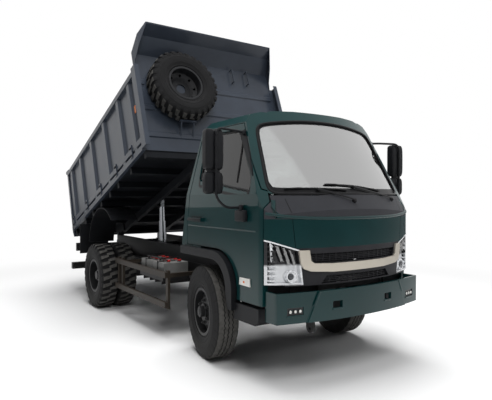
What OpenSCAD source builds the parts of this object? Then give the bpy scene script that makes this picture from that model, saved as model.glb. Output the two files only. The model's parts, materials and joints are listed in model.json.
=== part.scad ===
// Light forward-control dump truck with its tipping bed partly raised.
// Sizes are in millimetres. The truck faces -Y and its own left side is +X.
// Sections are drawn with y counted from the front axle; from_axle() then centres the truck.

/* [Axles and wheels] */
// Distance between the front and rear axles
wheelbase = 2690; // [2660:10:2760]
// Outer radius of every tyre
tyre_r = 422.5; // [415:0.5:428]
// Width of a tyre at its widest
tyre_w = 232; // [220:2:236]
// Width of the tread between its shoulders
tread_w = 193; // [180:1:198]
// Radius of the rim where the bead sits
rim_r = 205; // [200:1:210]
// Half the distance between the kingpins
kingpin_x = 690; // [684:2:700]
// Distance from a kingpin to the middle of its front wheel
kingpin_to_wheel = 100; // [98:1:106]
// Half the distance between the middles of the rear outer tyres
rear_outer_x = 972; // [960:2:984]
// Distance between the middles of twin rear tyres
twin_gap = 252; // [246:1:260]
// Turn of the front wheels at rest, towards the truck's right
steer_rest = 9; // [0:1:12]
// Radius of each kingpin
kingpin_r = 16; // [12:1:18]
// Radius of the front wheel spindles
spindle_r = 22; // [18:1:26]
// Length of the steering arms behind the kingpins
arm_l = 115; // [105:5:120]

/* [Frame] */
// Half the width over the frame rails
rail_x = 375; // [371:1:379]
// Height of a rail's web
rail_h = 180; // [170:5:186]
// Width of a rail's flanges
rail_flange = 60; // [56:1:63]
// Thickness of the rail's metal
rail_t = 8; // [6:1:10]
// Height of the top of the rails above the ground
rail_top = 800; // [796:1:803]
// Front end of the rails
rail_front = -990; // [-1000:5:-970]
// Rear end of the rails
rail_back = 3750; // [3730:5:3755]
// Height of the fixed sub-frame on the rails
sub_h = 80; // [72:1:82]

/* [Cab] */
// Half the width of the cab at its doors
cab_x = 855; // [845:5:865]
// Half the width of the cab at the eaves of the roof
eaves_x = 745; // [735:5:765]
// Height of the waist, where the sides start to lean inwards
waist_z = 1500; // [1490:5:1510]
// Height of the roof at its middle
roof_z = 2235; // [2220:5:2260]
// Height of the bottom of the painted front panel
front_low_z = 1075; // [1065:1:1085]
// Height of the line between the front panel and the grey cowl
cowl_low_z = 1306; // [1290:2:1320]
// Front of the cab at its middle
cab_front = -1095; // [-1100:1:-1090]
// Back wall of the cab below the waist
cab_back = 480; // [475:1:495]
// Radius of the bowed front, seen from above
bow_r = 2060; // [2000:20:2200]
// Radius of the rounding between the front and the sides
corner_r = 130; // [100:5:140]
// Thickness of the cab's walls and doors
wall_t = 45; // [40:1:50]
// Height of the underside of the cab floor
floor_z = 950; // [945:1:955]
// Hinge line of each door, from the truck's middle
door_hinge_x = 842; // [839:0.5:844]
// Hinge line of each door, from the front axle
door_hinge_y = -868; // [-869:0.5:-866]
// Gap all round a door
door_gap = 6; // [5:0.5:8]
// Thickness of the window glass
glass_t = 6; // [4:0.5:8]

/* [Bumper] */
// Front of the bumper at its middle
bumper_front = -1150; // [-1160:2:-1144]
// Half the width of the bumper
bumper_x = 842; // [834:2:850]
// Height of the bumper's top edge
bumper_top = 745; // [735:5:755]
// Height of the bumper's bottom edge
bumper_low = 510; // [500:5:525]
// Corner radius of the bumper, seen from above
bumper_corner = 150; // [130:5:170]
// Thickness of the bumper's wall
bumper_t = 30; // [24:1:36]

/* [Bed] */
// Angle of the bed at rest
bed_tip = 20.17; // [15:0.01:22]
// Length of the bed outside
bed_l = 3005; // [2995:1:3010]
// Half the width of the bed over its ribs
bed_x = 1016; // [1008:1:1024]
// Height of the lowered bed's floor above the ground
bed_floor_z = 1060; // [1058:1:1064]
// Height of the sides above the floor
side_h = 980; // [960:5:990]
// Depth of the ribs on the sides
rib_d = 42; // [36:1:48]
// Thickness of the bed's sheet metal
sheet_t = 6; // [4:1:8]
// Rear end of the lowered bed
bed_back = 3908; // [3904:1:3912]
// Hinge line of the bed, from the front axle
hinge_y = 3628; // [3622:1:3634]
// Hinge line of the bed, above the ground
hinge_z = 920; // [917:1:923]
// Radius of the hinge shaft
hinge_r = 25; // [20:1:28]
// Thickness of the tailgate
gate_t = 60; // [50:2:70]

/* [Hoist] */
// Distance from the bed hinge to both ends of each ram
ram_arm = 1308; // [1304:1:1312]
// Angle of the lowered bed's ram pins above the hinge
ram_eye_angle = 2; // [1.8:0.1:2.2]
// Angle of the ram trunnions below the hinge
ram_base_angle = 16.5; // [16.3:0.1:16.8]
// Distance of each ram from the middle of the truck
ram_x = 200; // [192:1:206]
// Outer radius of the ram barrels
barrel_r = 72; // [70:1:76]
// Outer radius of the first stage
stage_r = 60; // [58:1:62]
// Wall of each stage
stage_wall = 10; // [9:0.5:11]
// Half the length of the slot in each rod eye
eye_slot = 26; // [25:0.5:28]
// Radius of the rod pins on the bed
eye_pin_r = 15; // [13:1:17]

/* [Spare wheel] */
// Middle of the spare wheel, to the right of the truck's middle
spare_x = -440; // [-460:5:-420]
// Height of the spare wheel's middle with the bed down
spare_z = 1862; // [1850:2:1870]

/* [Hidden] */
$fn = 48;

// Radial clearance of every pin and shaft in its bore
run_fit = 0.05;
// Gap between seated pieces of different bodies
seat_gap = 0.3;
// Least clearance between moving pieces
move_gap = 6;
// Reach of the cutting boxes past what they cut
far = 3000;

side_top = bed_floor_z + side_h;
bed_front = bed_back - bed_l;
gate_low_z = bed_floor_z - 90;
gate_top_z = side_top + 20;
gate_back = bed_back + move_gap + gate_t;
// Rearmost point of the truck: the top edge of the tailgate on the raised bed
back_most = hinge_y + (gate_back - hinge_y) * cos(bed_tip) + (gate_top_z - hinge_z) * sin(bed_tip);
mid_y = (bumper_front + back_most) / 2;

module from_axle() translate([0, -mid_y, 0]) children();
module tipped() from_axle() translate([0, hinge_y, hinge_z]) rotate([-bed_tip, 0, 0])
  translate([0, -hinge_y, -hinge_z]) children();
module both_sides() {
  children();
  mirror([1, 0, 0]) children();
}
module on_side(side) mirror([side < 0 ? 1 : 0, 0, 0]) children();
// A box from its low to its high corner
module box(low, high) translate(low) cube(high - low);
// A cylinder along X between two x values
module rod_x(r, x0, x1, y = 0, z = 0) translate([x0, y, z]) rotate([0, 90, 0]) cylinder(r = r, h = x1 - x0);
// A flat outline given in (y, z), extruded along X between two x values
module slab_x(x0, x1) translate([x0, 0, 0]) rotate([90, 0, 90]) linear_extrude(x1 - x0) children();
// A flat outline given in (x, z), extruded along Y between two y values
module slab_y(y0, y1) translate([0, y1, 0]) rotate([90, 0, 0]) linear_extrude(y1 - y0) children();
// A round bar between two points
module strut(a, b, r) {
  v = b - a;
  translate(a) rotate([0, acos(v[2] / norm(v)), atan2(v[1], v[0])]) cylinder(r = r, h = norm(v));
}
// A round bar through several points, with round joints
module bent_bar(points, r) {
  for (i = [1:len(points) - 1]) strut(points[i - 1], points[i], r);
  for (i = [1:len(points) - 2]) translate(points[i]) sphere(r = 1.05 * r);
}
// A rectangle with round corners
module round_rect(low, high, r) {
  translate([low[0] + r, low[1]]) square([high[0] - low[0] - 2 * r, high[1] - low[1]]);
  translate([low[0], low[1] + r]) square([high[0] - low[0], high[1] - low[1] - 2 * r]);
  for (x = [low[0] + r, high[0] - r], y = [low[1] + r, high[1] - r]) translate([x, y]) circle(r);
}

// Wheels

// Half of a tyre's section as (radius, distance from its middle), from bead to shoulder; cut lowers the tread
function tyre_side(cut) = [[rim_r + seat_gap, 77], [rim_r + 16, 83], [rim_r + 26, 98], [rim_r + 60, 109],
  [rim_r + 108, tyre_w / 2], [rim_r + 150, tyre_w / 2 - 4], [tyre_r - 40, tread_w / 2 + 8],
  [tyre_r - 10 - cut, tread_w / 2 - cut / 3], [tyre_r - cut, tread_w / 2 - 16]];
groove_d = 9;
groove_x = 37;
// Road tread: three grooves run round the crown
road_crown = [[tyre_r, groove_x + 5], [tyre_r - groove_d, groove_x + 3], [tyre_r - groove_d, groove_x - 3],
  [tyre_r, groove_x - 5], [tyre_r, 5], [tyre_r - groove_d, 3]];
module tyre_form(side) rotate([0, 90, 0]) rotate_extrude($fn = 72) polygon(concat(
  side, [for (i = [len(side) - 1:-1:0]) [side[i][0], -side[i][1]]]));
module road_tyre() tyre_form(concat(tyre_side(0), road_crown));
lug_count = 28;
lug_h = 14;
// Half angles of a lug at its root and its tip, as shares of the pitch
lug_shares = [0.34, 0.25];
lug_overlap = 10;
// Ring of lugs, seen from the side
module lug_star() difference() {
  polygon([for (i = [0:lug_count - 1], c = [[0, -1], [1, -1], [1, 1], [0, 1]])
    let (r = c[0] == 0 ? tyre_r - lug_h - 4 : tyre_r,
      a = (i + c[1] * lug_shares[c[0]]) * 360 / lug_count) [r * cos(a), r * sin(a)]]);
  circle(tyre_r - 60);
}
module lug_tyre() {
  tyre_form(tyre_side(lug_h));
  for (s = [-1, 1]) rotate([0, 90, 0]) rotate([0, 0, s * 90 / lug_count])
    translate([0, 0, s < 0 ? -tread_w / 2 + 2 : -lug_overlap])
      linear_extrude(tread_w / 2 - 2 + lug_overlap) lug_star();
}
rim_half_w = 92;
rim_lip = 14;
rim_metal = 12;
// Rim well, flanges and dished disc; the disc's bolting face stands disc_x from the middle
module rim(disc_x, hole_r) rotate([0, 90, 0]) {
  rotate_extrude($fn = 72) polygon([[rim_r - rim_metal, -rim_half_w], [rim_r + rim_lip, -rim_half_w],
    [rim_r + rim_lip, -rim_half_w + 8], [rim_r, -78], [rim_r, 78], [rim_r + rim_lip, rim_half_w - 8],
    [rim_r + rim_lip, rim_half_w], [rim_r - rim_metal, rim_half_w]]);
  rotate_extrude($fn = 72) polygon([[hole_r, disc_x - 6], [118, disc_x - 6], [146, disc_x - 26],
    [rim_r - rim_metal, disc_x - 48], [rim_r - rim_metal, disc_x - 36], [150, disc_x - 14],
    [120, disc_x + 6], [hole_r, disc_x + 6]]);
}
module hand_holes(x, count, ring_r, hole_r) for (i = [0:count - 1]) rotate([i * 360 / count, 0, 0])
  rod_x(hole_r, x - 60, x + 40, 0, ring_r);
module front_wheel_place(side) from_axle() translate([side * kingpin_x, 0, tyre_r])
  rotate([0, 0, -steer_rest]) translate([side * kingpin_to_wheel, 0, 0]) children();
drum_r = 158;
module front_rim(side) color([0.07, 0.07, 0.075]) front_wheel_place(side) on_side(side) difference() {
  union() {
    difference() {
      rim(56, 60);
      hand_holes(40, 8, 163, 15);
    }
    rod_x(drum_r, -42, 10);
    rod_x(72, 10, 80);
    rod_x(50, 80, 104);
  }
  rod_x(spindle_r + run_fit, -53, 62);
}
module front_tyre(side) color([0.08, 0.08, 0.09]) front_wheel_place(side) road_tyre();
rear_inner_x = rear_outer_x - twin_gap;
module rear_wheel_place(side, x) from_axle() translate([side * x, wheelbase, tyre_r]) children();
module rear_tyres(side) color([0.07, 0.07, 0.08]) for (x = [rear_inner_x, rear_outer_x])
  rear_wheel_place(side, x) lug_tyre();
axle_end_r = 38;
module rear_rims(side) color([0.07, 0.07, 0.075]) rear_wheel_place(side, 0) on_side(side) difference() {
  union() {
    difference() {
      union() {
        translate([rear_inner_x, 0, 0]) rim(twin_gap / 2 - 6, 80);
        translate([rear_outer_x, 0, 0]) mirror([1, 0, 0]) rim(twin_gap / 2 - 6, 80);
      }
      hand_holes(rear_inner_x + twin_gap / 2, 8, 163, 15);
    }
    rod_x(drum_r, rear_inner_x - 64, rear_inner_x + 70);
    rod_x(95, rear_inner_x + 70, rear_outer_x - 70);
    rod_x(75, rear_outer_x - 70, rear_outer_x + 40);
    rod_x(55, rear_outer_x + 40, rear_outer_x + 62);
  }
  rod_x(axle_end_r + run_fit, rear_inner_x - 65, rear_outer_x - 100);
}

// Front axle and steering

knuckle_eye_h = 110;
beam_low_z = 335;
beam_top_z = 400;
module front_axle() color([0.12, 0.12, 0.13]) from_axle() difference() {
  union() {
    box([-520, -36, beam_low_z], [520, 36, beam_low_z + 14]);
    box([-520, -36, beam_top_z - 14], [520, 36, beam_top_z]);
    box([-520, -10, beam_low_z], [520, 10, beam_top_z]);
    both_sides() slab_y(-30, 30) polygon([[500, beam_low_z], [kingpin_x - 20, 385], [kingpin_x - 20, 460],
      [500, beam_top_z]]);
    both_sides() translate([kingpin_x, 0, tyre_r - knuckle_eye_h / 2]) cylinder(r = 34, h = knuckle_eye_h);
    both_sides() box([spring_x[0] - 40, -60, beam_top_z - 14], [spring_x[0] + 40, 60, spring_mid_z[0]]);
  }
  both_sides() translate([kingpin_x, 0, tyre_r - 90]) cylinder(r = kingpin_r + run_fit, h = 180);
}
// Height of the steering arms from the wheel centre, and the pins that carry the tie rod
arm_z = -101;
arm_h = 16;
arm_pin_r = 9;
tie_eye_h = 24;
fork_h = 24;
module knuckle(side) color([0.14, 0.14, 0.15]) from_axle() translate([side * kingpin_x, 0, tyre_r])
  rotate([0, 0, -steer_rest]) on_side(side) {
    translate([0, 0, -knuckle_eye_h / 2 - fork_h]) cylinder(r = kingpin_r, h = knuckle_eye_h + 2 * fork_h);
    for (z = [-knuckle_eye_h / 2 - seat_gap - fork_h, knuckle_eye_h / 2 + seat_gap])
      box([-26, -28, z], [48, 28, z + fork_h]);
    box([42, -52, -knuckle_eye_h / 2 - fork_h], [52, 52, knuckle_eye_h / 2 + fork_h]);
    rod_x(spindle_r, 42, kingpin_to_wheel + 56);
    box([-17, -20, arm_z], [17, arm_l, arm_z + arm_h]);
    box([-17, -20, arm_z], [17, 20, -knuckle_eye_h / 2 - fork_h]);
    translate([0, arm_l, arm_z]) cylinder(r = 18, h = arm_h);
    translate([0, arm_l, arm_z - tie_eye_h - 2]) cylinder(r = arm_pin_r, h = tie_eye_h + arm_h);
  }
module tie_rod() color([0.15, 0.15, 0.16]) from_axle()
  translate([arm_l * sin(steer_rest), arm_l * cos(steer_rest), tyre_r + arm_z - seat_gap - tie_eye_h]) difference() {
    union() {
      rod_x(tie_eye_h / 2 - 1, -kingpin_x, kingpin_x, 0, tie_eye_h / 2);
      for (side = [-1, 1]) translate([side * kingpin_x, 0, 0]) cylinder(r = 18, h = tie_eye_h);
    }
    for (side = [-1, 1]) translate([side * kingpin_x, 0, -1]) cylinder(r = arm_pin_r + run_fit, h = tie_eye_h + 2);
  }

// Chassis

// Cross members of the frame, from the front axle
cross_y = [-950, 1100, 1850, 3050, 3715];
ram_base_y = hinge_y - ram_arm * cos(ram_base_angle);
ram_base_z = hinge_z - ram_arm * sin(ram_base_angle);
trunnion_r = 25;
rail_in = rail_x - rail_flange;
module rail_section() difference() {
  square([rail_flange, rail_h]);
  translate([-1, rail_t]) square([rail_flange - rail_t + 1, rail_h - 2 * rail_t]);
}
module trunnion_plate() slab_x(rail_in - 22, rail_in) difference() {
  union() {
    polygon([[ram_base_y - 120, rail_top - 10], [ram_base_y + 120, rail_top - 10], [ram_base_y + 45, ram_base_z],
      [ram_base_y - 45, ram_base_z]]);
    translate([ram_base_y, ram_base_z]) circle(45);
  }
}
tow_x = -470;
tow_y = -1010;
tow_z = 440;
tow_bore_r = 16;
// Towing eye under the bumper, on a bracket from the right rail
module tow_hook() difference() {
  union() {
    box([tow_x, rail_front - 20, 640], [-rail_x, rail_front + 90, 665]);
    slab_x(tow_x - 15, tow_x + 15) {
      polygon([[rail_front - 20, 665], [rail_front + 40, 665], [tow_y + 40, tow_z], [tow_y - 40, tow_z]]);
      translate([tow_y, tow_z]) circle(40);
    }
  }
  rod_x(tow_bore_r, tow_x - 20, tow_x + 20, tow_y, tow_z);
}
module frame() color([0.10, 0.10, 0.11]) from_axle() difference() {
  union() {
    both_sides() {
      translate([rail_in, rail_back, rail_top - rail_h]) rotate([90, 0, 0])
        linear_extrude(rail_back - rail_front) rail_section();
      box([rail_in, 900, rail_top], [rail_x, rail_back - 20, rail_top + sub_h]);
      box([rail_in, hinge_y - 45, rail_top + sub_h], [rail_x, hinge_y + 45, hinge_z]);
      rod_x(45, rail_in, rail_x, hinge_y, hinge_z);
      trunnion_plate();
      box([rail_in, -900, rail_top], [rail_x, -820, floor_z]);
      box([rail_in, 370, rail_top], [rail_x, 440, floor_z - 40]);
    }
    box([-700, 370, floor_z - 50], [700, 440, floor_z]);
    for (y = cross_y) box([-rail_x + 1, y - 30, rail_top - 80], [rail_x - 1, y + 30, rail_top - 10]);
    box([-900, 835, 586], [-rail_x + 1, 1465, 598]);
    box([-900, 835, 586], [-892, 1465, 640]);
    box([-rail_x - 12, 835, 586], [-rail_x, 1465, 720]);
    tow_hook();
  }
  rod_x(hinge_r + run_fit, -rail_x - 1, rail_x + 1, hinge_y, hinge_z);
  rod_x(trunnion_r + run_fit, -rail_in - 1, rail_in + 1, ram_base_y, ram_base_z);
}
// Leaf springs, front and rear: x, middle y, height of the main leaf's middle, half length, leaves
spring_x = [345, 430];
spring_y = [0, wheelbase];
spring_mid_z = [452, 560];
spring_half = [530, 620];
spring_leaves = [5, 8];
leaf_t = 10;
leaf_w = 64;
leaf_r = 2600;
module leaf_pack(i) intersection() {
  translate([spring_x[i] - leaf_w / 2, spring_y[i], spring_mid_z[i] + leaf_r + leaf_t * spring_leaves[i]])
    rotate([0, 90, 0]) difference() {
      cylinder(r = leaf_r + leaf_t * spring_leaves[i], h = leaf_w, $fn = 360);
      translate([0, 0, -1]) cylinder(r = leaf_r, h = leaf_w + 2, $fn = 360);
    }
  slab_x(spring_x[i] - leaf_w, spring_x[i] + leaf_w) polygon([
    [spring_y[i] - spring_half[i], spring_mid_z[i] + leaf_t * spring_leaves[i] - leaf_t / 2 + 20],
    [spring_y[i] - spring_half[i], spring_mid_z[i] + 300], [spring_y[i] + spring_half[i], spring_mid_z[i] + 300],
    [spring_y[i] + spring_half[i], spring_mid_z[i] + leaf_t * spring_leaves[i] - leaf_t / 2 + 20],
    [spring_y[i] + 130, spring_mid_z[i]], [spring_y[i] - 130, spring_mid_z[i]]]);
}
module leaf_springs() color([0.11, 0.11, 0.12]) from_axle() both_sides() for (i = [0, 1]) {
  leaf_pack(i);
  for (s = [-1, 1]) {
    translate([0, spring_y[i] + s * spring_half[i], 0])
      box([spring_x[i] - 38, -26, spring_mid_z[i] + 40], [spring_x[i] + 38, 26, rail_top - rail_h]);
    if (i == 1) translate([0, spring_y[i] + s * spring_half[i], 0])
      box([rail_x, -26, rail_top - rail_h - 1], [spring_x[i] + 38, 26, rail_top - 60]);
  }
}
tube_r = 60;
// Half of the axle housing's section as (radius, distance from its middle)
housing = [[axle_end_r, rear_outer_x - 104], [axle_end_r, rear_inner_x - 72], [tube_r, rear_inner_x - 72],
  [tube_r, 200], [95, 160], [135, 100], [152, 40]];
module rear_axle() color([0.12, 0.12, 0.13]) from_axle() {
  translate([0, wheelbase, tyre_r]) rotate([0, 90, 0]) rotate_extrude($fn = 72) polygon(concat(
    [[0, -rear_outer_x + 104]], [for (p = housing) [p[0], -p[1]]],
    [for (i = [len(housing) - 1:-1:0]) housing[i]], [[0, rear_outer_x - 104]]));
  translate([0, wheelbase - 100, tyre_r]) rotate([90, 0, 0]) cylinder(r1 = 95, r2 = 55, h = 130);
  both_sides() box([spring_x[1] - 40, wheelbase - 70, tyre_r], [spring_x[1] + 40, wheelbase + 70, spring_mid_z[1]]);
}
engine_back = 250;
gearbox_back = 950;
shaft_z = 600;
module engine() color([0.2, 0.21, 0.22]) from_axle() {
  box([-240, -560, 490], [240, engine_back, 925]);
  both_sides() box([239, -200, 690], [rail_x - rail_t, -100, 750]);
}
module driveline() color([0.2, 0.2, 0.21]) from_axle() {
  translate([0, engine_back, shaft_z]) rotate([-90, 0, 0]) cylinder(r1 = 180, r2 = 100, h = 300);
  box([-105, engine_back + 250, shaft_z - 105], [105, gearbox_back, shaft_z + 105]);
  box([-60, gearbox_back - 1, shaft_z - 50], [60, cross_y[1] + 10, shaft_z + 50]);
  box([-60, cross_y[1] - 30, shaft_z + 40], [60, cross_y[1] + 30, rail_top - 80]);
  strut([0, cross_y[1] + 10, shaft_z], [0, wheelbase - 250, tyre_r], 38);
  translate([0, wheelbase - 260, tyre_r]) rotate([-90, 0, 0]) cylinder(r = 55, h = 30);
}
silencer = [515, 1740, 550];
exhaust_r = 24;
// Pipe in three lengths, the middle one slipped over the others, then the silencer
exhaust_path = [[272, -300, 540], [272, 770, 540], [490, 1110, 540], [490, 1760, 540]];
module exhaust() color([0.3, 0.28, 0.26]) from_axle() {
  translate(silencer) rotate([-90, 0, 0]) cylinder(r = 80, h = 290);
  box([240, -330, 510], [270, -270, 640]);
  box([260, -312, 528], [280, -288, 552]);
  for (i = [0:2]) strut(exhaust_path[i], exhaust_path[i + 1], exhaust_r + (i == 1 ? 4 : 0));
  box([rail_x, 1860, 640], [387, 1900, 700]);
  box([rail_x, 1860, 600], [silencer[0], 1900, 641]);
}
module tanks() color([0.16, 0.17, 0.18]) from_axle() {
  translate([0, 1660, 0]) rotate([90, 0, 0]) linear_extrude(680) round_rect([530, 400], [850, 720], 50);
  for (y = [1100, 1560]) box([rail_x, y, 690], [560, y + 40, 719]);
  translate([-600, 1540, 600]) rotate([-90, 0, 0]) cylinder(r = 110, h = 420);
  for (y = [1600, 1870]) box([-600, y, 640], [-rail_x, y + 30, 680]);
}
module battery() color([0.85, 0.85, 0.84]) from_axle() {
  for (y = [845, 1155]) box([-888, y, 598], [-600, y + 300, 775]);
  for (y = [845, 1155], i = [0:2], x = [-810, -680]) translate([x, y + 60 + i * 90, 774]) cylinder(r = 22, h = 14);
}
guard_x = 950;
guard_front = 680;
// Room between the guards and the rear tyres
guard_gap = 97.5;
guard_back = wheelbase - tyre_r - guard_gap;
guard_post = guard_back - 190;
module side_guards() color([0.16, 0.14, 0.12]) from_axle() both_sides() {
  for (z = [335, 645]) box([guard_x - 30, guard_front, z], [guard_x, guard_back, z + 60]);
  for (y = [guard_front, guard_post, guard_back - 60]) box([guard_x - 60, y, 320], [guard_x - 30, y + 50, 720]);
  for (y = [guard_front, guard_post]) box([rail_x, y, 650], [guard_x - 60, y + 40, 690]);
}
bar_y = 3990;
module tail_bar() color([0.10, 0.10, 0.11]) from_axle() {
  box([-1000, bar_y, 350], [1000, bar_y + 80, 450]);
  both_sides() slab_x(rail_in, rail_in + 14) polygon([[rail_back, rail_top - rail_h], [rail_back, rail_top],
    [rail_back + 20, rail_top], [bar_y, 450], [bar_y, 350], [rail_back + 60, rail_top - rail_h]]);
  both_sides() box([rail_in + 14, rail_back, 690], [960, rail_back + 8, 760]);
  both_sides() box([800, rail_back + 8, 655], [1000, rail_back + 60, 775]);
}

// Cab

// Middle of the windscreen's bottom and top edges as (y, z)
screen_low = [cab_front + 65, 1490];
screen_top = [-620, 2190];
screen_lean = atan2(screen_top[0] - screen_low[0], screen_top[1] - screen_low[1]);
eaves_z = 2120;
cab_low_z = 780;
// Middle of the corner rounding in plan, tangent to the bow and to the side
corner_x = cab_x - corner_r;
corner_y = cab_front + bow_r - sqrt(pow(bow_r - corner_r, 2) - pow(corner_x, 2));
corner_end_x = corner_x * bow_r / (bow_r - corner_r);
// Side outline of the cab as (y, z), drawn in by t
module cab_side(t) polygon([[cab_front - 300, 400], [cab_front - 300, 2300], [-560, 2300],
  [-520, roof_z - 25 - t], [-400, roof_z - t], [0, roof_z - t], [160, roof_z - 30 - t],
  [250 - t, eaves_z - t / 2], [285 - t, 1930], [cab_back - t, 1050], [cab_back - t, 400]]);
// Right half of the front outline as (x, z), drawn in by t
function half_section(t) = [[cab_x - t, 400], [cab_x - t, waist_z], [eaves_x - t, eaves_z - t / 4],
  [690 - t, 2190 - t], [560, roof_z - 12 - t], [300, roof_z - t]];
module cab_section(t) polygon(concat(half_section(t),
  [for (i = [5:-1:0]) [-half_section(t)[i][0], half_section(t)[i][1]]]));
module screen_frame() translate([0, screen_low[0], screen_low[1]]) rotate([-screen_lean, 0, 0]) children();
// Plan of the cab, bowed at the front with round corners, drawn in by t
module cab_plan(t) intersection() {
  translate([0, cab_front + bow_r]) circle(bow_r - t, $fn = 240);
  union() {
    translate([-corner_end_x + t / 3, cab_front - 100]) square([2 * corner_end_x - 2 * t / 3, 1000]);
    translate([-cab_x + t, corner_y]) square([2 * cab_x - 2 * t, 1600]);
    for (s = [-1, 1]) translate([s * corner_x, corner_y]) circle(corner_r - t);
  }
}
module cab_form(t) intersection() {
  slab_x(-1000, 1000) cab_side(t);
  slab_y(cab_front - 300, 1000) cab_section(t);
  translate([0, 0, 350]) linear_extrude(2100) cab_plan(t);
  screen_frame() translate([0, bow_r, -1500]) cylinder(r = bow_r - t, h = 3500, $fn = 240);
}
module cab_shell() difference() {
  cab_form(0);
  cab_form(wall_t);
}
// Outer edge of the wheel arch flare as (y, z), grown by out
module arch_edge(out) {
  translate([-190, 690]) circle(315 + out);
  translate([-505 - out, 300]) square([1400, 390]);
  translate([-190, 400]) square([1400, 605 + out]);
}
// Inner edge of the flare, grown by out
module arch_opening(out) {
  translate([-170, 690]) circle(240 + out);
  polygon([[-410 - out, 690], [-440 - out, 500], [0, 500], [0, 690]]);
  translate([-300, 400]) square([1400, 290]);
  translate([-170, 400]) square([1400, 530 + out]);
}
// Edge of the door as (y, z); grow widens it all round
module door_outline(grow) difference() {
  polygon([[door_hinge_y - 4 - grow, 625 - grow], [-878 - grow, waist_z + grow / 2], [-800 - grow, waist_z + 40 + grow],
    [-470 - grow, eaves_z - 12 + grow], [214 + 2.5 * grow, eaves_z - 12 + grow], [366 + grow, 1150], [370 + grow, 625 - grow]]);
  arch_edge(18 - grow);
}
module window_outline() polygon([[-705, 1510], [-700, 1640], [-430, 2030], [-380, 2060], [120, 2075], [160, 2060],
  [172, 1650], [150, 1630], [-344, 1556]]);
handle_y = 175;
// Space of a door in the cab's shell; below the windscreen's corner it holds the side wall alone
door_in_x = 772;
door_top_in_x = 690;
module door_space(grow) {
  slab_x(door_in_x - grow, 1000) door_outline(grow);
  slab_x(door_top_in_x - grow, 1000) intersection() {
    door_outline(grow);
    translate([-1000, waist_z + 40 - grow]) square([2000, 1000]);
  }
}
module door(side) color([0.03, 0.22, 0.22]) from_axle() on_side(side) {
  difference() {
    intersection() {
      cab_shell();
      door_space(0);
    }
    slab_x(400, 1000) window_outline();
    screen_frame() slab_y(-400, 300) screen_outline(-door_gap);
  }
  box([cab_x, handle_y - 130, 1250], [cab_x + 34, handle_y - 100, 1285]);
  box([cab_x, handle_y + 100, 1250], [cab_x + 34, handle_y + 130, 1285]);
  box([cab_x + 22, handle_y - 130, 1250], [cab_x + 34, handle_y + 130, 1285]);
}
glass_in = 20;
module door_glass(side) color([0.5, 0.6, 0.6, 0.4]) from_axle() on_side(side) intersection() {
  difference() {
    cab_form(glass_in);
    cab_form(glass_in + glass_t);
  }
  slab_x(400, 1000) window_outline();
}
mirror_x = 1105;
mirror_y = -560;
module mirror_unit(side) color([0.06, 0.06, 0.065]) from_axle() on_side(side) {
  bent_bar([[764, -490, 2030], [mirror_x, mirror_y + 12, 2030], [mirror_x, mirror_y + 12, 1390], [899, -610, 1350]], 11);
  translate([0, mirror_y, 0]) slab_y(-38, 52) round_rect([mirror_x - 82, 1692], [mirror_x + 82, 2022], 40);
  translate([0, mirror_y, 0]) slab_y(-34, 48) round_rect([mirror_x - 80, 1500], [mirror_x + 80, 1680], 36);
  box([cab_x, -690, 1275], [900, -540, 1415]);
}
module cab_rest() difference() {
  cab_shell();
  both_sides() door_space(door_gap);
}
// Outline of the windscreen in its own plane, drawn in by t
module screen_outline(t = 0) polygon([[-780 + t, 20 + t], [780 - t, 20 + t], [680 - t, 770 - t], [-680 + t, 770 - t]]);
roof_split_z = 2100;
module cab_roof() color([0.03, 0.22, 0.22]) from_axle() difference() {
  cab_rest();
  box([-1000, -1200, 300], [1000, 600, waist_z]);
  box([-1000, 100, 300], [1000, 600, roof_split_z]);
  screen_frame() slab_y(-400, 300) screen_outline();
}
back_window_low = [-500, 1500];
back_window_high = [500, 1900];
module cab_rear() color([0.03, 0.22, 0.22]) from_axle() difference() {
  intersection() {
    cab_rest();
    box([-1000, 100, floor_z], [1000, 600, roof_split_z]);
  }
  slab_y(100, 600) round_rect(back_window_low, back_window_high, 60);
  both_sides() slab_x(700, 1000) arch_edge(0);
}
// Upright seam between the middle and corner panels as (x, z)
module seam() polygon([[614, 1060], [619, 1060], [667, 1500], [662, 1500]]);
seam_d = 7;
module seams() both_sides() difference() {
  slab_y(-1200, -800) seam();
  cab_form(seam_d);
}
module cab_front() color([0.03, 0.22, 0.22]) from_axle() difference() {
  intersection() {
    cab_rest();
    box([-1000, -1200, front_low_z], [1000, -500, cowl_low_z]);
  }
  both_sides() slab_y(-1300, -500) lamp_outline();
  seams();
}
module cowl_panel() color([0.25, 0.26, 0.28]) from_axle() intersection() {
  cab_rest();
  box([-1000, -1200, cowl_low_z], [1000, -500, waist_z]);
  union() {
    box([-1000, -1200, cowl_low_z], [1000, -500, screen_low[1]]);
    difference() {
      box([-1000, -1200, cowl_low_z], [1000, -500, waist_z]);
      screen_frame() slab_y(-400, 300) screen_outline();
    }
  }
}
module cab_glass() color([0.5, 0.6, 0.6, 0.4]) from_axle() {
  intersection() {
    difference() {
      cab_form(12);
      cab_form(12 + glass_t);
    }
    screen_frame() slab_y(-400, 300) screen_outline();
    box([-1000, -1200, waist_z], [1000, 0, 2300]);
  }
  intersection() {
    difference() {
      cab_form(glass_in);
      cab_form(glass_in + glass_t);
    }
    slab_y(200, 600) round_rect(back_window_low, back_window_high, 60);
  }
}
floor_t = 30;
module cab_floor() color([0.1, 0.1, 0.11]) from_axle() difference() {
  cab_tub();
  both_sides() translate([door_hinge_x, door_hinge_y, 500]) cylinder(r = door_sweep_r, h = 600);
}
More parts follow.
